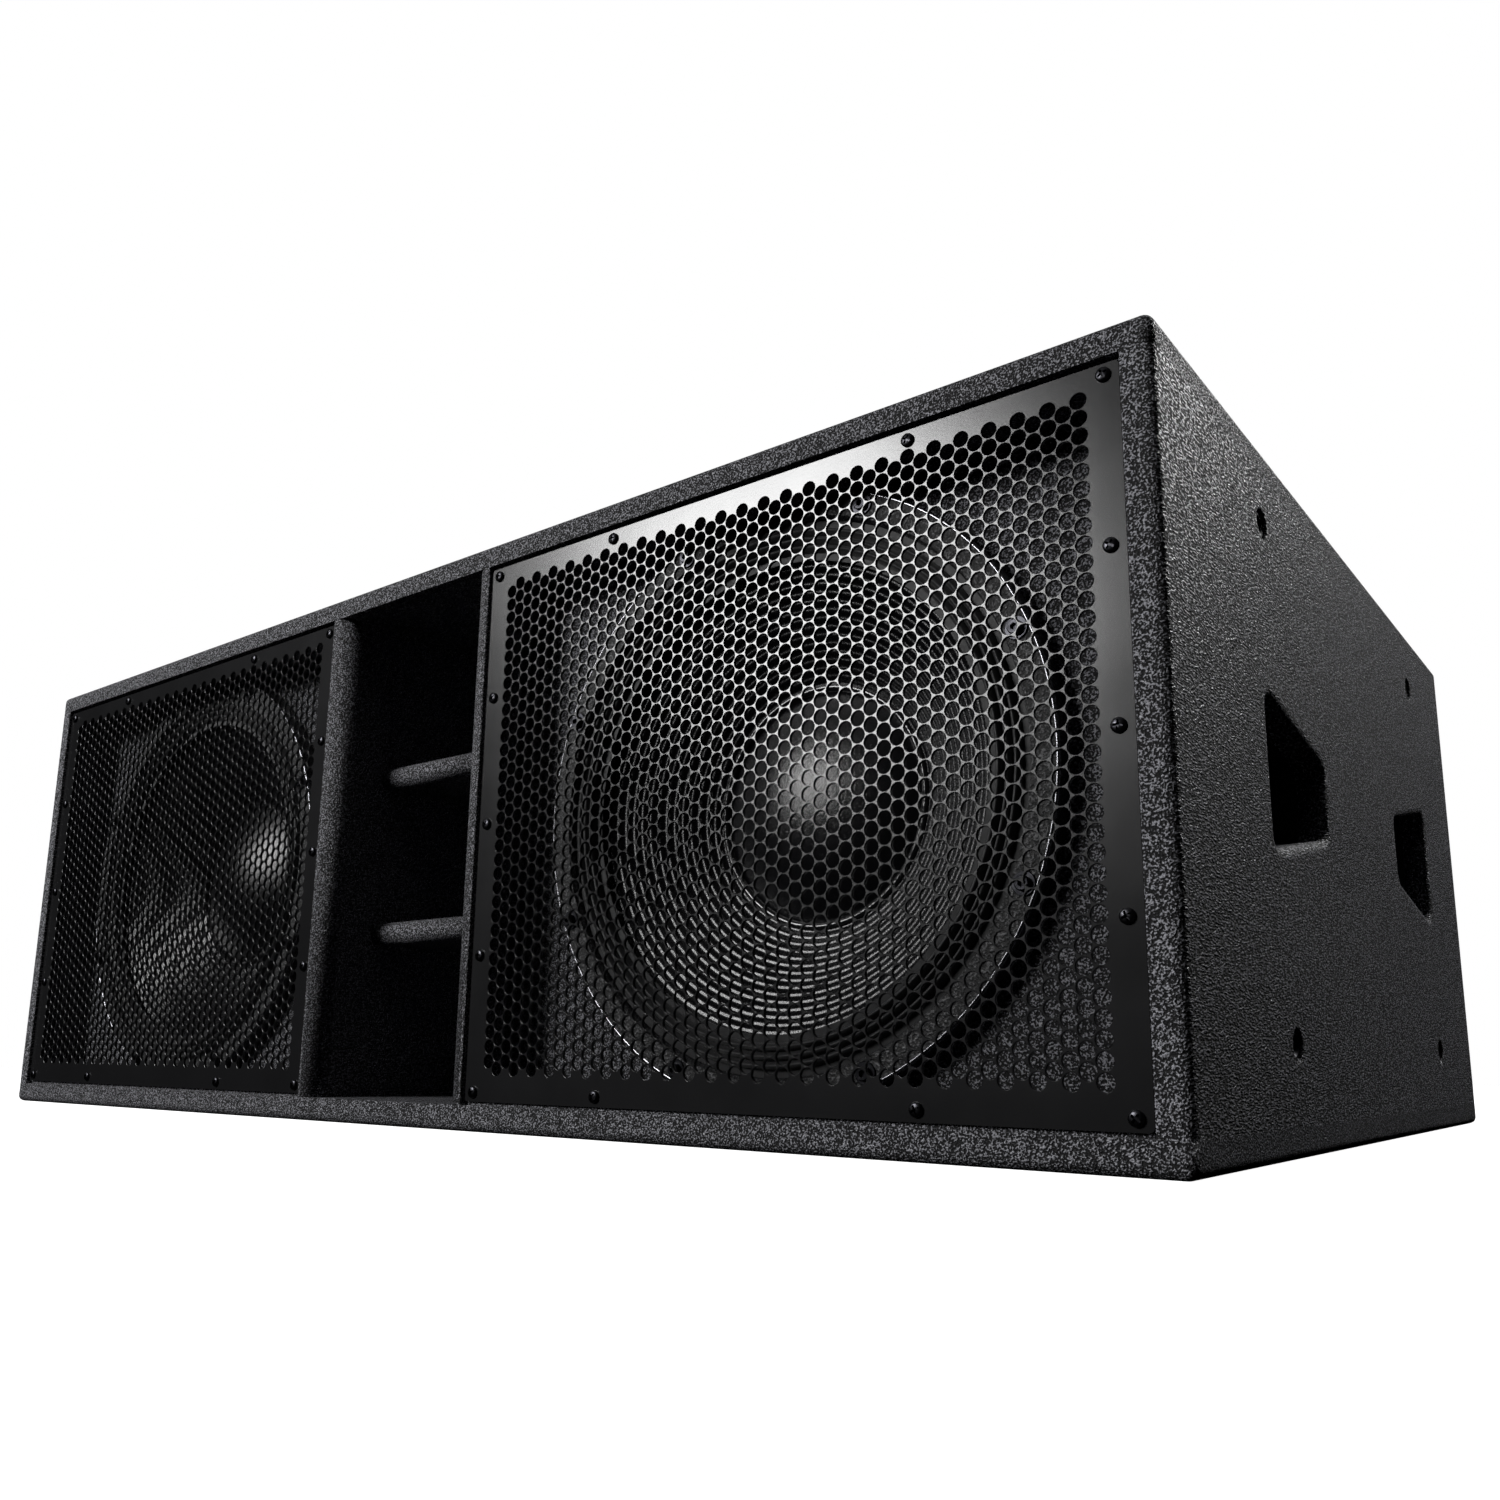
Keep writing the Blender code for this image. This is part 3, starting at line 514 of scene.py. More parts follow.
def rounded_outline(corners, radius, grow=0.0, steps=CORNER_STEPS):
    """A convex outline, listed anticlockwise, with rounded corners, grown outwards by an offset."""
    outline = []
    for index, corner in enumerate(corners):
        corner = Vector(corner)
        before = (corner - Vector(corners[index - 1])).normalized()
        after = (Vector(corners[(index + 1) % len(corners)]) - corner).normalized()
        half = before.angle(after) / 2
        centre = corner + (after - before).normalized() * radius / math.cos(half)
        start = math.atan2(-before.x, before.y)
        for step in range(steps + 1):
            angle = start + 2 * half * step / steps
            outline.append(centre + (radius + grow) * Vector((math.cos(angle), math.sin(angle))))
    return outline


def rectangle(width, height):
    x, y = width / 2, height / 2
    return [(-x, -y), (x, -y), (x, y), (-x, y)]


def loft(sections):
    """A closed solid through sections with equal point counts."""
    bm = bmesh.new()
    loops = []
    for section in sections:
        verts = [bm.verts.new(point) for point in section]
        edges = [bm.edges.new((verts[index - 1], verts[index])) for index in range(len(verts))]
        loops.append((verts, edges))

    def drop(pair):
        (near, _), (far, _) = pair
        normal = geometry.normal([vert.co for vert in near])
        return abs((far[0].co - near[0].co).dot(normal))

    # Loops in one plane are joined first, while nothing else is attached to them.
    for (_, near), (_, far) in sorted(zip(loops, loops[1:]), key=drop):
        bmesh.ops.bridge_loops(bm, edges=near + far)
    for verts, _ in (loops[0], loops[-1]):
        bm.faces.new(verts)
    bmesh.ops.recalc_face_normals(bm, faces=bm.faces)
    smooth_curved(bm)
    sharpen(bm)
    return bm


def cut(bm, *cutters):
    """Subtracts each cutter bmesh from a bmesh, and returns the result as a new bmesh."""
    scene = bpy.context.scene
    helpers = []
    for source in (bm, *cutters):
        mesh = bpy.data.meshes.new("cutting")
        source.to_mesh(mesh)
        source.free()
        helper = bpy.data.objects.new("cutting", mesh)
        scene.collection.objects.link(helper)
        helpers.append(helper)
    target = helpers[0]
    for cutter in helpers[1:]:
        modifier = target.modifiers.new("cut", "BOOLEAN")
        modifier.operation = "DIFFERENCE"
        modifier.solver = "EXACT"
        modifier.object = cutter
    graph = bpy.context.evaluated_depsgraph_get()
    result = bmesh.new()
    result.from_mesh(bpy.data.meshes.new_from_object(target.evaluated_get(graph)))
    sharpen(result)
    for helper in helpers:
        bpy.data.objects.remove(helper, do_unlink=True)
    return result


# Cabinet


cab_low, cab_high = Vector(cad_bounds[0]), Vector(cad_bounds[1])
floor_of_box = node_box("bottom_panel")[1].z
roof_of_box = node_box("top_panel")[0].z
panel_thickness = floor_of_box - cab_low.z
wall_inner = cab_high.x - panel_thickness


def build_panels(coating, side_glint_coating):
    def upright(a, b):
        return abs(a.z - b.z) > panel_thickness / 2

    top = box_bmesh((cab_low.x, cab_low.y, roof_of_box), cab_high)
    round_edges(top, lambda a, b: upright(a, b) or min(a.z, b.z) > roof_of_box + 0.001, EDGE_ROUNDING)
    add_piece("top_board", top, coating, ["top_panel"])
    bottom = box_bmesh(cab_low, (cab_high.x, cab_high.y, floor_of_box))
    round_edges(bottom, lambda a, b: upright(a, b) or max(a.z, b.z) < 0.001, EDGE_ROUNDING)
    add_piece("bottom_board", bottom, coating, ["bottom_panel"])
    for side, sign in SIDES.items():
        build_side_panel(side, sign, side_glint_coating)
        build_divider(side, coating)
    for name in ("upper_port_brace", "lower_port_brace"):
        low, high = node_box(name)
        low.x, high.x = node_box("left_divider")[1].x, node_box("right_divider")[0].x
        brace = box_bmesh(low, high)
        round_edges(brace, lambda a, b: abs(a.x - b.x) > 0.05, BRACE_ROUNDING, 8)
        add_piece(name.replace("brace", "shelf"), brace, coating, [name])
    build_back_panel(coating)


def build_divider(side, coating):
    low, high = node_box(f"{side}_divider")
    low.z, high.z = floor_of_box, roof_of_box
    port_side, chamber_side = sorted((abs(low.x), abs(high.x)))
    divider = box_bmesh(low, high)
    round_edges(
        divider, lambda a, b: tall(a, b) and abs(abs(a.x) - port_side) < 0.001, DIVIDER_ROUNDING, 12
    )
    ease_front_edge(divider, chamber_side)
    add_piece(f"{side}_port_wall", divider, coating, [f"{side}_divider"])


def tall(a, b):
    return abs(a.z - b.z) > 0.1


def ease_front_edge(bm, x):
    """Just eases the upright front edge that stands at a distance from the middle."""
    round_edges(
        bm,
        lambda a, b: tall(a, b) and abs(abs(a.x) - x) < 0.0001 and a.y < 0,
        INNER_EDGE_ROUNDING,
        3,
    )


def hand_hole_section(side, sign, end, x, grow):
    low, high = node_box(f"{side}_{end}_hand_pocket")
    middle = (low.z + high.z) / 2
    start, finish = low.y + POCKET_FLANGE, high.y - POCKET_FLANGE
    tall, short = HAND_HOLE_TALL / 2, HAND_HOLE_SHORT / 2
    near, far = (tall, short) if end == "front" else (short, tall)
    corners = [(start, -near), (finish, -far), (finish, far), (start, near)]
    outline = rounded_outline(corners, HAND_HOLE_CORNER, grow)
    return [(sign * x, point.x, middle + point.y) for point in outline]


def hand_hole_cutter(side, sign, end):
    stations = [(wall_inner - panel_thickness, 0.0)]
    for step in range(EDGE_SEGMENTS + 1):
        angle = math.pi / 2 * step / EDGE_SEGMENTS
        depth = HAND_HOLE_ROUNDING * (1 - math.sin(angle))
        stations.append((cab_high.x - depth, HAND_HOLE_ROUNDING * (1 - math.cos(angle))))
    stations.append((cab_high.x + panel_thickness, HAND_HOLE_ROUNDING))
    return loft([hand_hole_section(side, sign, end, x, grow) for x, grow in stations])


def build_side_panel(side, sign, coating):
    xs = sorted((sign * wall_inner, sign * cab_high.x))
    panel = box_bmesh((xs[0], cab_low.y, floor_of_box), (xs[1], cab_high.y, roof_of_box))
    round_edges(panel, lambda a, b: tall(a, b) and abs(a.x) > cab_high.x - 0.001, EDGE_ROUNDING)
    ease_front_edge(panel, wall_inner)
    cutters = []
    for end in ENDS:
        cutters.append(hand_hole_cutter(side, sign, end))
        cutters += [insert_cutter(side, sign, end, level) for level in LEVELS]
    panel = cut(panel, *cutters)
    add_piece(f"{side}_end_board", panel, coating, [f"{side}_side_panel"])


def insert_cutter(side, sign, end, level):
    """A clearance hole with the coating's softened lip."""
    low, high = node_box(f"{side}_{end}_{level}_rigging_insert")
    centre = (low + high) / 2
    radius, lip = INSERT_HOLE_RADIUS, INSERT_HOLE_LIP
    profile = [(0.0, 0.03), (radius + lip, 0.03), (radius + lip, 0.0)]
    steps = 3
    for step in range(1, steps + 1):
        angle = math.pi / 2 * step / steps
        profile.append((radius + lip * (1 - math.sin(angle)), -lip * (1 - math.cos(angle))))
    profile += [(radius, -0.03), (0.0, -0.03)]
    place = (sign * cab_high.x, centre.y, centre.z)
    outwards = Matrix.Rotation(sign * math.pi / 2, 4, "Y")
    return turned(profile, place, outwards, SMALL_STEPS, closed=False)


def build_back_panel(coating):
    low, high = node_box("back_panel")
    panel = box_bmesh((-wall_inner, low.y, floor_of_box), (wall_inner, high.y, roof_of_box))
    dish_low, dish_high = node_box("input_dish")
    size = dish_high - dish_low

    def section(y, width, height, corner):
        outline = rounded_outline(rectangle(width, height), corner)
        return [(point.x, y, (dish_low.z + dish_high.z) / 2 + point.y) for point in outline]

    lap = 2 * (DISH_FLANGE - DISH_WALL - DISH_CLEARANCE)
    hole = (size.x - lap, size.z - lap, DISH_CORNER + DISH_WALL)
    slack = 4 * DISH_CLEARANCE
    rebate = (size.x + slack, size.z + slack, DISH_CORNER + DISH_FLANGE + DISH_CLEARANCE)
    ahead, behind = low.y - 0.02, high.y + 0.02
    through = loft([section(ahead, *hole), section(behind, *hole)])
    seat = loft([section(high.y - DISH_WALL - DISH_CLEARANCE, *rebate), section(behind, *rebate)])
    panel = cut(panel, through, seat)
    add_piece("rear_board", panel, coating, ["back_panel"])


def build_pockets(plastic):
    for side, sign in SIDES.items():
        for end in ENDS:
            low, high = node_box(f"{side}_{end}_hand_pocket")
            mouth = max(abs(low.x), abs(high.x))
            floor = min(abs(low.x), abs(high.x)) + POCKET_WALL
            stations = [
                (floor, -POCKET_DRAFT),
                (mouth, 0.0),
                (mouth, POCKET_FLANGE),
                (mouth - POCKET_WALL, POCKET_FLANGE),
                (mouth - POCKET_WALL, POCKET_WALL),
                (floor - POCKET_WALL, POCKET_WALL - POCKET_DRAFT),
            ]
            sections = [hand_hole_section(side, sign, end, x, grow) for x, grow in stations]
            name = f"{side}_{end}_hand_cup"
            add_piece(name, loft(sections), plastic, [f"{side}_{end}_hand_pocket"])


def build_inserts(zinc):
    """Threaded inserts: a barrel with a thread inside and a flange on the inner face."""
    for side, sign in SIDES.items():
        for node in [f"{side}_{end}_{level}_rigging_insert" for end in ENDS for level in LEVELS]:
            low, high = node_box(node)
            inner, outer = min(abs(low.x), abs(high.x)), max(abs(low.x), abs(high.x))
            length = outer - inner
            profile = [(0.0062, length), (INSERT_RADIUS - INSERT_EDGE, length)]
            profile += [(INSERT_RADIUS, length - INSERT_EDGE), (INSERT_RADIUS, INSERT_FLANGE)]
            profile += [(INSERT_FLANGE_RADIUS, INSERT_FLANGE), (INSERT_FLANGE_RADIUS, 0.0), (0.0047, 0.0)]
            pitch = (length - 0.001) / THREAD_TURNS
            for turn in range(THREAD_TURNS):
                height = pitch * (turn + 0.5)
                profile += [(THREAD_CREST, height), (THREAD_ROOT, height + pitch / 2)]
            place = (sign * inner, (low.y + high.y) / 2, (low.z + high.z) / 2)
            outwards = Matrix.Rotation(sign * math.pi / 2, 4, "Y")
            nut = turned(profile, place, outwards, SMALL_STEPS)
            add_piece(node.replace("insert", "nut"), nut, zinc, [node])


# Grilles


def add_loop(bm, sides, radius, height):
    """A ring of edges with a vertex on +X."""
    place = Matrix.Translation((0, 0, height)) @ Matrix.Rotation(math.pi / 2, 4, "Z")
    verts = bmesh.ops.create_circle(bm, segments=sides, radius=radius, matrix=place)["verts"]
    return list({edge for vert in verts for edge in vert.link_edges})


def repeat(bm, geometry, moves):
    for move in moves:
        made = bmesh.ops.duplicate(bm, geom=geometry)["geom"]
        verts = [item for item in made if isinstance(item, bmesh.types.BMVert)]
        bmesh.ops.translate(bm, vec=move, verts=verts)


def perforated_sheet(low, high):
    """A sheet with staggered round holes: one cell with its hole, repeated, welded and framed."""
    size = high - low
    bm = bmesh.new()
    front = add_loop(bm, 6, HOLE_PITCH / math.sqrt(3), 0.0)
    mouth = add_loop(bm, HOLE_SIDES, HOLE_RADIUS + HOLE_EDGE, 0.0)
    throat = add_loop(bm, HOLE_SIDES, HOLE_RADIUS, -HOLE_EDGE)
    exit_ring = add_loop(bm, HOLE_SIDES, HOLE_RADIUS, -size.y)
    back = add_loop(bm, 6, HOLE_PITCH / math.sqrt(3), -size.y)
    for near, far in ((front, mouth), (back, exit_ring), (mouth, throat), (throat, exit_ring)):
        bmesh.ops.bridge_loops(bm, edges=near + far)
    column_step = HOLE_PITCH * math.sqrt(3) / 2
    rows = range(HOLES_IN_COLUMN)
    moves = [(0, row * HOLE_PITCH, 0) for row in rows[1:]]
    moves += [(-column_step, (row + 0.5) * HOLE_PITCH, 0) for row in rows[:-1]]
    repeat(bm, bm.verts[:] + bm.edges[:] + bm.faces[:], moves)
    moves = [(-2 * column_step * pair, 0, 0) for pair in range(1, COLUMN_PAIRS)]
    repeat(bm, bm.verts[:] + bm.edges[:] + bm.faces[:], moves)
    half_span = column_step * (2 * COLUMN_PAIRS - 1) / 2
    half_rise = HOLE_PITCH * (HOLES_IN_COLUMN - 1) / 2
    bmesh.ops.translate(bm, vec=(half_span, FIELD_RISE - half_rise, 0), verts=bm.verts)
    bmesh.ops.remove_doubles(bm, verts=bm.verts, dist=CELL_WELD)
    field = [edge for edge in bm.edges if edge.is_boundary]
    outline = rounded_outline(rectangle(size.x, size.z), SHEET_CORNER, steps=4)
    rims = []
    for height in (0.0, -size.y):
        verts = [bm.verts.new((point.x, point.y, height)) for point in outline]
        rim = [bm.edges.new((verts[index - 1], verts[index])) for index in range(len(verts))]
        level = [edge for edge in field if abs(edge.verts[0].co.z - height) < HOLE_EDGE]
        bmesh.ops.triangle_fill(bm, edges=level + rim, use_beauty=True, normal=(0, 0, 1))
        rims += rim
    edge_faces = bmesh.ops.bridge_loops(bm, edges=rims)["faces"]
    bmesh.ops.recalc_face_normals(bm, faces=bm.faces)
    for face in bm.faces:
        face.smooth = abs(face.normal.z) < 0.9 and face not in edge_faces
    centre = (low + high) / 2
    return place_bmesh(bm, (centre.x, low.y, centre.z), FORWARDS)


def phillips_screw():
    """A pan head with a cross recess, standing on z = 0."""
    radius, rise = SCREW_HEAD_RADIUS, SCREW_HEAD_RISE
    profile = [(0.0, rise)]
    for step in range(1, SCREW_CROWN_STEPS + 1):
        angle = math.pi / 2 * step / SCREW_CROWN_STEPS
        crown = SCREW_RIM_SHARE + (1 - SCREW_RIM_SHARE) * math.cos(angle) ** 0.8
        profile.append((radius * math.sin(angle), rise * crown))
    profile += [(radius, 0.0), (0.0, 0.0)]
    head = spin_profile(profile, 20, closed=False)
    sharpen(head)
    corner = Vector((radius * SCREW_SLOT_REACH, radius * SCREW_SLOT_WIDTH, 0.0))
    floor, above = Vector((0, 0, rise * SCREW_SLOT_FLOOR)), Vector((0, 0, rise * 2))
    blades = []
    for angle in (SCREW_SLOT_TURN, SCREW_SLOT_TURN + math.pi / 2):
        blade = box_bmesh(floor - corner, above + corner)
        blades.append(place_bmesh(blade, (0, 0, 0), Matrix.Rotation(angle, 4, "Z")))
    return cut(head, *blades)


def copies(source, matrices):
    """One bmesh that holds a copy of the source at each place."""
    mesh = bpy.data.meshes.new("source")
    source.to_mesh(mesh)
    source.free()
    bm = bmesh.new()
    for matrix in matrices:
        before = len(bm.verts)
        bm.from_mesh(mesh)
        bm.verts.ensure_lookup_table()
        bmesh.ops.transform(bm, matrix=matrix, verts=bm.verts[before:])
    bpy.data.meshes.remove(mesh)
    return bm


def build_grilles(powder, coating, screw_finish):
    for side in SIDES:
        low, high = node_box(f"{side}_grille")
        sheet = perforated_sheet(low, high)
        add_piece(f"{side}_grille_sheet", sheet, powder, [f"{side}_grille"])
        batten_low, batten_high = node_box(f"{side}_grille_battens")
        centre = (batten_low + batten_high) / 2
        reach_x = (batten_high.x - batten_low.x) / 2 - SCREW_SIDE_INSET
        reach_z = (batten_high.z - batten_low.z) / 2 - SCREW_END_INSET
        spots = []
        for row in range(SCREW_ROWS):
            z = reach_z * (2 * row / (SCREW_ROWS - 1) - 1)
            spots += [(-reach_x, z), (reach_x, z)]
        for x in (-SCREW_TOP_SPACING, SCREW_TOP_SPACING):
            spots += [(x, -reach_z), (x, reach_z)]
        matrices = []
        for index, (x, z) in enumerate(spots):
            spin = Matrix.Rotation(index * SCREW_TURN, 4, "Z")
            place = Matrix.Translation((centre.x + x, low.y, centre.z + z))
            matrices.append(place @ FORWARDS @ spin)
        screws = copies(phillips_screw(), matrices)
        add_piece(f"{side}_grille_screws", screws, screw_finish)
        build_battens(side, coating)


def chamber_box(side, node):
    """A box at a node's depth that fills the driver chamber's width and height."""
    low, high = node_box(node)
    divider_low, divider_high = node_box(f"{side}_divider")
    inner = max(abs(divider_low.x), abs(divider_high.x))
    low.x, high.x = sorted((SIDES[side] * inner, SIDES[side] * wall_inner))
    low.z, high.z = floor_of_box, roof_of_box
    return low, high


def build_battens(side, coating):
    """Four battens in one rectangle."""
    node = f"{side}_grille_battens"
    low, high = chamber_box(side, node)
    inset = Vector((BATTEN_WIDTH, -0.01, BATTEN_WIDTH))
    battens = cut(box_bmesh(low, high), box_bmesh(low + inset, high - inset))
    add_piece(f"{side}_batten_frame", battens, coating, [node])


# Drivers


def build_baffle(side, axis, coating):
    node = f"{side}_baffle"
    low, high = chamber_box(side, node)
    middle = (axis.x, (low.y + high.y) / 2, axis.z)
    hole = turned(bore(CUTOUT_RADIUS, 0.05), middle, steps=96, closed=False)
    panel = cut(box_bmesh(low, high), hole)
    add_piece(f"{side}_driver_board", panel, coating, [node])


def arc_points(centre, radius, start, end, steps):
    """Points along an arc from one angle to another, in degrees."""
    points = []
    for step in range(steps + 1):
        angle = math.radians(start + (end - start) * step / steps)
        points.append((centre[0] + radius * math.cos(angle), centre[1] + radius * math.sin(angle)))
    return points


def build_driver(side, finishes):
    low, high = node_box(f"{side}_basket")
    front_of_baffle = node_box(f"{side}_baffle")[0].y
    axis = Vector(((low.x + high.x) / 2, front_of_baffle, (low.z + high.z) / 2))
    build_baffle(side, axis, finishes["coating"])
    build_basket(side, axis, finishes)
    build_cone(side, axis, finishes)
    build_suspension(side, axis, finishes)
    build_motor(side, axis, finishes)


def basket_profile():
    """The basket's section, from the flange's front rim down the outside and back up the inside."""
    return [
        *arc_points(FLANGE_RIM, FLANGE_RIM_ROUNDING, 90, 0, 6),
        (0.1940, 0.0026),
        (0.1740, 0.0026),
        (0.1740, -0.0074),
        (0.1139, -0.0747),
        (0.1089, -0.0919),
        (0.0625, -0.0919),
        (0.0625, -0.0869),
        (0.0953, -0.0869),
        (0.0953, -0.0745),
        (0.1043, -0.0745),
        (0.1660, -0.0024),
        (0.1660, 0.0076),
        (0.1760, 0.0076),
        (0.1760, 0.0116),
        (0.1775, 0.0146),
        (0.1880, 0.0147),
    ]


def build_basket(side, axis, finishes):
    basket = spin_profile(basket_profile())
    sharpen(basket, 20.0)
    windows = []
    for index in range(BASKET_WINDOWS):
        window = box_bmesh(*WINDOW_BOX)
        along = [edge for edge in window.edges if abs(edge.verts[0].co.x - edge.verts[1].co.x) > 0.01]
        bmesh.ops.bevel(
            window,
            geom=along,
            offset=WINDOW_CORNER,
            segments=4,
            profile=0.5,
            affect="EDGES",
            material=-1,
        )
        turn = Matrix.Rotation(2 * math.pi * (index + 0.5) / BASKET_WINDOWS, 4, "Z")
        windows.append(place_bmesh(window, (0, 0, 0), turn))
    basket = place_bmesh(cut(basket, *windows), axis, FORWARDS)
    add_piece(
        f"{side}_driver_frame", basket, finishes["casting"], [f"{side}_basket"]
    )
    edge = turned(arc_points(BARE_EDGE, BARE_EDGE_RADIUS, -150, 210, 12)[:-1], axis, steps=180)
    add_piece(f"{side}_flange_edge", edge, finishes["bare"])
    gasket = turned(GASKET_SECTION, axis)
    add_piece(
        f"{side}_flange_gasket", gasket, finishes["foam"], [f"{side}_basket_gasket"]
    )
    matrices = []
    for index in range(BOLT_COUNT):
        angle = 2 * math.pi * (index + 0.5) / BOLT_COUNT
        place = (BOLT_CIRCLE * math.cos(angle), BOLT_CIRCLE * math.sin(angle), FLANGE_FRONT)
        matrices.append(Matrix.Translation(axis) @ FORWARDS @ Matrix.Translation(place))
    bolts = copies(socket_bolt(), matrices)
    add_piece(f"{side}_basket_bolts", bolts, finishes["screw"])


def socket_bolt():
    """A socket cap screw on a washer, standing on z = 0."""
    radius, rise, edge = BOLT_HEAD_RADIUS, BOLT_HEAD_RISE, BOLT_HEAD_EDGE
    profile = [(0.0, rise), (radius - edge, rise), (radius, rise - edge), (radius, WASHER_RISE)]
    profile += [(WASHER_RADIUS - WASHER_EDGE, WASHER_RISE), (WASHER_RADIUS, WASHER_RISE - WASHER_EDGE)]
    profile += [(WASHER_RADIUS, 0.0), (0.0, 0.0)]
    head = spin_profile(profile, 24, closed=False)
    sharpen(head)
    key = bmesh.new()
    bmesh.ops.create_cone(
        key,
        cap_ends=True,
        segments=6,
        radius1=BOLT_SOCKET_RADIUS,
        radius2=BOLT_SOCKET_RADIUS,
        depth=rise,
        matrix=Matrix.Translation((0, 0, rise)),
    )
    return cut(head, key)


def cone_point(share):
    """A point of the cone's plain front face, from its rim at 0 to its neck at 1."""
    return tuple(rim + (neck - rim) * share for rim, neck in zip(CONE_RIM, CONE_NECK))


def dome(radius, base, rise):
    """A shallow dome's section, from its crown to its rim."""
    points = []
    for step in range(CAP_STEPS + 1):
        out = math.sin(math.pi / 2 * step / CAP_STEPS)
        points.append((radius * out, base + rise * (1 - out**2)))
    return points


def build_cone(side, axis, finishes):
    body = f"{side}_cone_assembly"
    front = []
    steps = CONE_RIBS * STEPS_PER_RIB
    for step in range(steps + 1):
        radius, height = cone_point(step / steps)
        phase = max(step / steps - PLAIN_RIM_SHARE, 0.0) / (1 - PLAIN_RIM_SHARE)
        rib = CONE_RIB_RISE * (1 - math.cos(2 * math.pi * CONE_RIBS * phase)) / 2
        front.append((radius, height + rib))
    back = [(radius, height - CONE_WALL) for radius, height in front]
    cone = turned([front[0], *back, *front[:0:-1]], axis, crease=50.0)
    add_piece(f"{side}_ribbed_cone", cone, finishes["paper"], [f"{side}_cone"], body)

    cap_share = (CONE_RIM[0] - CAP_RADIUS) / (CONE_RIM[0] - CONE_NECK[0])
    base = cone_point(cap_share)[1] + CAP_GLUE_GAP
    outer = dome(CAP_RADIUS, base, CAP_RISE)
    inner = dome(CAP_RADIUS - CAP_WALL, base, CAP_RISE - CAP_WALL)
    cap = turned(outer + inner[::-1], axis, closed=False, crease=50.0)
    add_piece(f"{side}_cap_dome", cap, finishes["cap"], [f"{side}_dust_cap"], body)
    bead_centre = (CAP_RADIUS + GLUE_BEAD_OFFSET[0], base + GLUE_BEAD_OFFSET[1])
    ring = turned(arc_points(bead_centre, GLUE_BEAD_RADIUS, -150, 210, 16)[:-1], axis)
    add_piece(f"{side}_cap_glue_ring", ring, finishes["glue"], (), body)

    former = [(0.0504, -0.0580), (0.0504, -0.0873), (0.0513, -0.0873), (0.0513, -0.1073)]
    former += [(0.0504, -0.1073), (0.0504, -0.1100), (0.0496, -0.1100), (0.0496, -0.0580)]
    coil = turned(former, axis, steps=MOTOR_STEPS)
    add_piece(
        f"{side}_coil_former", coil, finishes["copper"], [f"{side}_voice_coil"], body
    )


def rolled_section(inner, outer, z, wall, rolls, rise, rim, steps):
    """A thin ring between two flat rims whose middle rises in rolls, as a closed section."""
    front = [(outer, z)]
    start, end = outer - rim, inner + rim
    for step in range(steps + 1):
        t = step / steps
        lift = abs(math.sin(math.pi * rolls * t)) ** 0.75
        front.append((start + (end - start) * t, z + rise * lift))
    front.append((inner, z))
    back = [(radius, height - wall) for radius, height in front]
    return [front[0]] + back + front[:0:-1]


def blend_outwards(piece, side, axis, inner, outer):
    """Bakes the piece's place into its mesh."""
    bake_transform(piece)


def build_suspension(side, axis, finishes):
    surround = turned(rolled_section(**SURROUND, **SURROUND_ROLLS), axis, crease=60.0)
    piece = add_piece(
        f"{side}_rolled_surround", surround, finishes["cloth"], [f"{side}_surround"], None
    )
    blend_outwards(piece, side, axis, *SURROUND_FLEX)
    spider = turned(rolled_section(**SPIDER, **SPIDER_ROLLS), axis, steps=MOTOR_STEPS, crease=60.0)
    piece = add_piece(
        f"{side}_corrugated_spider", spider, finishes["amber"], [f"{side}_spider"], None
    )
    blend_outwards(piece, side, axis, *SPIDER_FLEX)


def build_motor(side, axis, finishes):
    parts = {
        "top_plate": (
            [(0.1129, -0.0922), (0.1139, -0.0932), (0.1139, -0.1012), (0.1129, -0.1022)]
            + [(0.0519, -0.1022), (0.0519, -0.0922)],
            "steel",
            "motor_steel",
        ),
        "magnet": (
            [(0.1169, -0.1025), (0.1179, -0.1035), (0.1179, -0.1235), (0.1169, -0.1245)]
            + [(0.0629, -0.1245), (0.0619, -0.1235), (0.0619, -0.1035), (0.0629, -0.1025)],
            "ferrite",
            "ferrite",
        ),
        "pole_piece": (
            [(0.0480, -0.0922), (0.0490, -0.0932), (0.0490, -0.1248), (0.1129, -0.1248)]
            + [(0.1139, -0.1258), (0.1139, -0.1338), (0.1129, -0.1348), (0.0120, -0.1348)]
            + [(0.0120, -0.0922)],
            "steel",
            "motor_steel",
        ),
    }
    for name, (section, finish, slot) in parts.items():
        bm = turned(section, axis, steps=MOTOR_STEPS)
        add_piece(f"{side}_motor_{name}", bm, finishes[finish], [f"{side}_{name}"])


# Rear connections


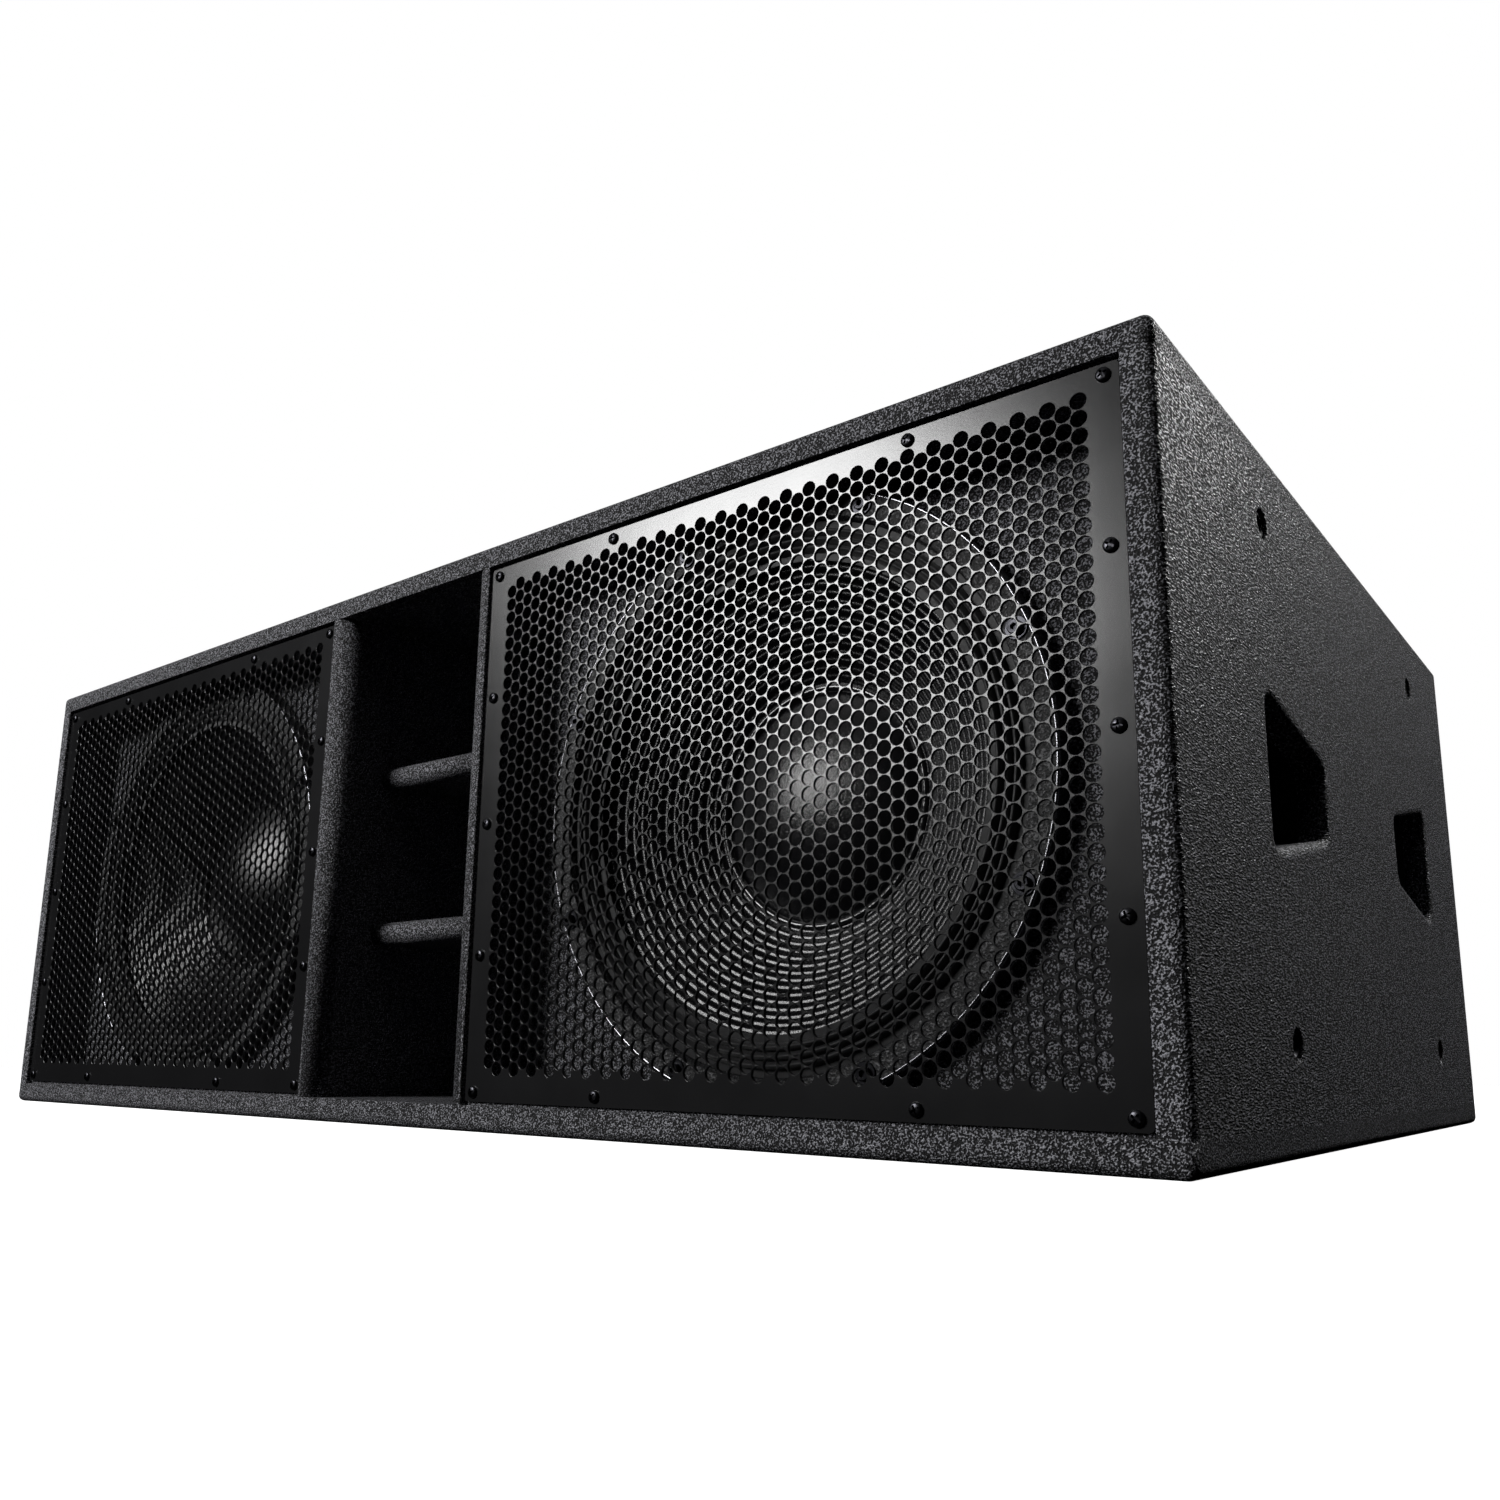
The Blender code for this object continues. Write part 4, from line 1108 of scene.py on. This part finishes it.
def build_dish(finishes):
    low, high = node_box("input_dish")
    centre_z = (low.z + high.z) / 2
    flange, wall = DISH_FLANGE, DISH_WALL
    width, height = high.x - low.x - 2 * flange, high.z - low.z - 2 * flange
    floor = low.y + wall
    stations = [
        (floor, -DISH_DRAFT),
        (high.y, 0.0),
        (high.y, flange),
        (high.y - wall, flange),
        (high.y - wall, wall),
        (low.y, wall - DISH_DRAFT),
    ]
    sections = []
    for y, grow in stations:
        outline = rounded_outline(rectangle(width, height), DISH_CORNER, grow)
        sections.append([(point.x, y, centre_z + point.y) for point in outline])
    dish = loft(sections)
    holes = []
    for name in ("input_socket", "link_socket"):
        socket_low, socket_high = node_box(name)
        place = ((socket_low.x + socket_high.x) / 2, floor, centre_z)
        holes.append(turned(bore(SOCKET_HOLE_RADIUS, 0.02), place, BACKWARDS, 48, closed=False))
        build_socket(name, place, finishes)
    dish = cut(dish, *holes)
    add_piece("connector_dish", dish, finishes["powder"], ["input_dish"])
    matrices = []
    for x in (-1, 1):
        for z in (-1, 1):
            place = (x * (high.x - flange / 2), high.y, centre_z + z * (high.z - low.z - flange) / 2)
            matrices.append(Matrix.Translation(place) @ BACKWARDS)
    screws = copies(phillips_screw(), matrices)
    bmesh.ops.translate(screws, vec=(0, -SCREW_HEAD_RISE, 0), verts=screws.verts)
    add_piece("dish_screws", screws, finishes["screw"])


def build_socket(name, place, finishes):
    rim, edge = 0.0023, 0.0006
    profile = [(0.0, rim), (0.0030, rim), (0.0035, rim - 0.0005), (0.0035, rim - 0.016)]
    profile += [(0.0098, rim - 0.016), (0.0098, rim - edge), (0.0104, rim), (0.0149, rim)]
    profile += [(0.0155, rim - edge), (0.0155, 0.0003), (0.0120, 0.0003)]
    profile += [(0.0120, rim - 0.030), (0.0, rim - 0.030)]
    socket = turned(profile, place, BACKWARDS, 64, closed=False)
    connector = name.replace("socket", "connector")
    add_piece(connector, socket, finishes["plastic"], [name])


# Stage


def add_area_light(name, place, target, size, power):
    light = bpy.data.lights.new(name, "AREA")
    light.shape = "ELLIPSE"
    light.size, light.size_y = size
    light.energy = power
    lamp = bpy.data.objects.new(name, light)
    lamp.location = place
    lamp.rotation_euler = (Vector(target) - Vector(place)).to_track_quat("-Z", "Y").to_euler()
    bpy.context.scene.collection.objects.link(lamp)


def build_stage():
    bm = bmesh.new()
    bmesh.ops.create_circle(bm, cap_ends=True, segments=96, radius=FLOOR_RADIUS)
    mesh = bpy.data.meshes.new("floor")
    bm.to_mesh(mesh)
    bm.free()
    floor = bpy.data.objects.new("floor", mesh)
    paint = Finish("pale_floor", Base_Color=(0.92, 0.92, 0.92, 1.0), Roughness=0.8)
    paint.set("Emission Color", (1.0, 1.0, 1.0, 1.0))
    paint.set("Emission Strength", FLOOR_GLOW)
    reach = paint.node("VectorMath", {"operation": "LENGTH"}, "Value", Vector=paint.place)
    start, end = (FLOOR_RADIUS * share for share in FLOOR_FADE)
    limits = {"From Min": start, "From Max": end, "To Min": 1.0, "To Max": 0.0}
    fade = paint.node("MapRange", {"interpolation_type": "SMOOTHSTEP"}, Value=reach, **limits)
    paint.set("Alpha", fade)
    mesh.materials.append(paint.material)
    bpy.context.scene.collection.objects.link(floor)
    floor.visible_diffuse = False
    floor.visible_glossy = False
    world = bpy.data.worlds.new("studio")
    world.use_nodes = True
    world.node_tree.nodes["Background"].inputs["Color"].default_value = (1.0, 1.0, 1.0, 1.0)
    bpy.context.scene.world = world
    world.cycles_visibility.diffuse = False
    world.cycles_visibility.glossy = False
    for name, light in LIGHTS.items():
        add_area_light(name, *light)
    bpy.context.scene.view_settings.view_transform = "Standard"


def add_camera():
    data = bpy.data.cameras.new("camera")
    data.lens = CAMERA_LENS
    data.sensor_width = 36.0
    data.shift_x, data.shift_y = CAMERA_SHIFT
    camera = bpy.data.objects.new("camera", data)
    camera.location = CAMERA_PLACE
    camera.rotation_euler = Euler([math.radians(angle) for angle in CAMERA_TURN], "XYZ")
    bpy.context.scene.collection.objects.link(camera)
    bpy.context.scene.camera = camera


finishes = {
    "coating": sprayed_coating("sprayed_coating", 0.31),
    # The side panels get a copy of the coating with brighter painted glints on its crests, for the
    # sparkle at a grazing view.
    "side_glint_coating": sprayed_coating("side_coating_brighter_painted_glints", 0.36, SIDE_GRAIN),
    "powder": powder_coat(),
    "plastic": moulded_plastic(),
    "casting": cast_metal(),
    "paper": pressed_paper("ribbed_cone_paper", 0.19, 0.3),
    "cap": pressed_paper("dust_cap_paper", 0.16, 0.6),
    "cloth": doped_cloth(),
    "glue": glue(),
    "screw": metal("blacked_screw", (0.04, 0.04, 0.045), 0.22),
    "zinc": metal("blacked_nut", (0.05, 0.05, 0.055), 0.4),
    "steel": metal("turned_steel", (0.45, 0.45, 0.47), 0.3),
    "copper": metal("lacquered_copper", (0.72, 0.34, 0.18), 0.25),
    "bare": metal("machined_edge", (0.30, 0.30, 0.32), 0.18),
    "foam": mottled("gasket_foam", (0.012, 0.012, 0.012), (0.03, 0.03, 0.03), 0.95, 900.0, 0.6, 0.0006),
    "ferrite": mottled("ferrite", (0.035, 0.035, 0.04), (0.07, 0.07, 0.075), 0.6, 300.0, 0.2, 0.0003),
    "amber": mottled("amber_cloth", (0.30, 0.17, 0.05), (0.50, 0.31, 0.10), 0.85, 1200.0, 0.4, 0.0003),
    "birch": bare_birch(),
    "sheath": mottled("cable_sheath", (0.010, 0.010, 0.010), (0.02, 0.02, 0.02), 0.5, 400.0, 0.1, 0.0002),
}

add_camera()
build_panels(finishes["coating"], finishes["side_glint_coating"])
build_pockets(finishes["plastic"])
build_inserts(finishes["zinc"])
build_grilles(finishes["powder"], finishes["coating"], finishes["screw"])
for driver_side in SIDES:
    build_driver(driver_side, finishes)
build_dish(finishes)
for node, finish in {
    "left_window_brace": "birch",
    "right_window_brace": "birch",
    "left_terminal_block": "plastic",
    "right_terminal_block": "plastic",
    "left_speaker_cable": "sheath",
    "right_speaker_cable": "sheath",
}.items():
    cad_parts[node].data.materials[0] = finishes[finish]
build_stage()
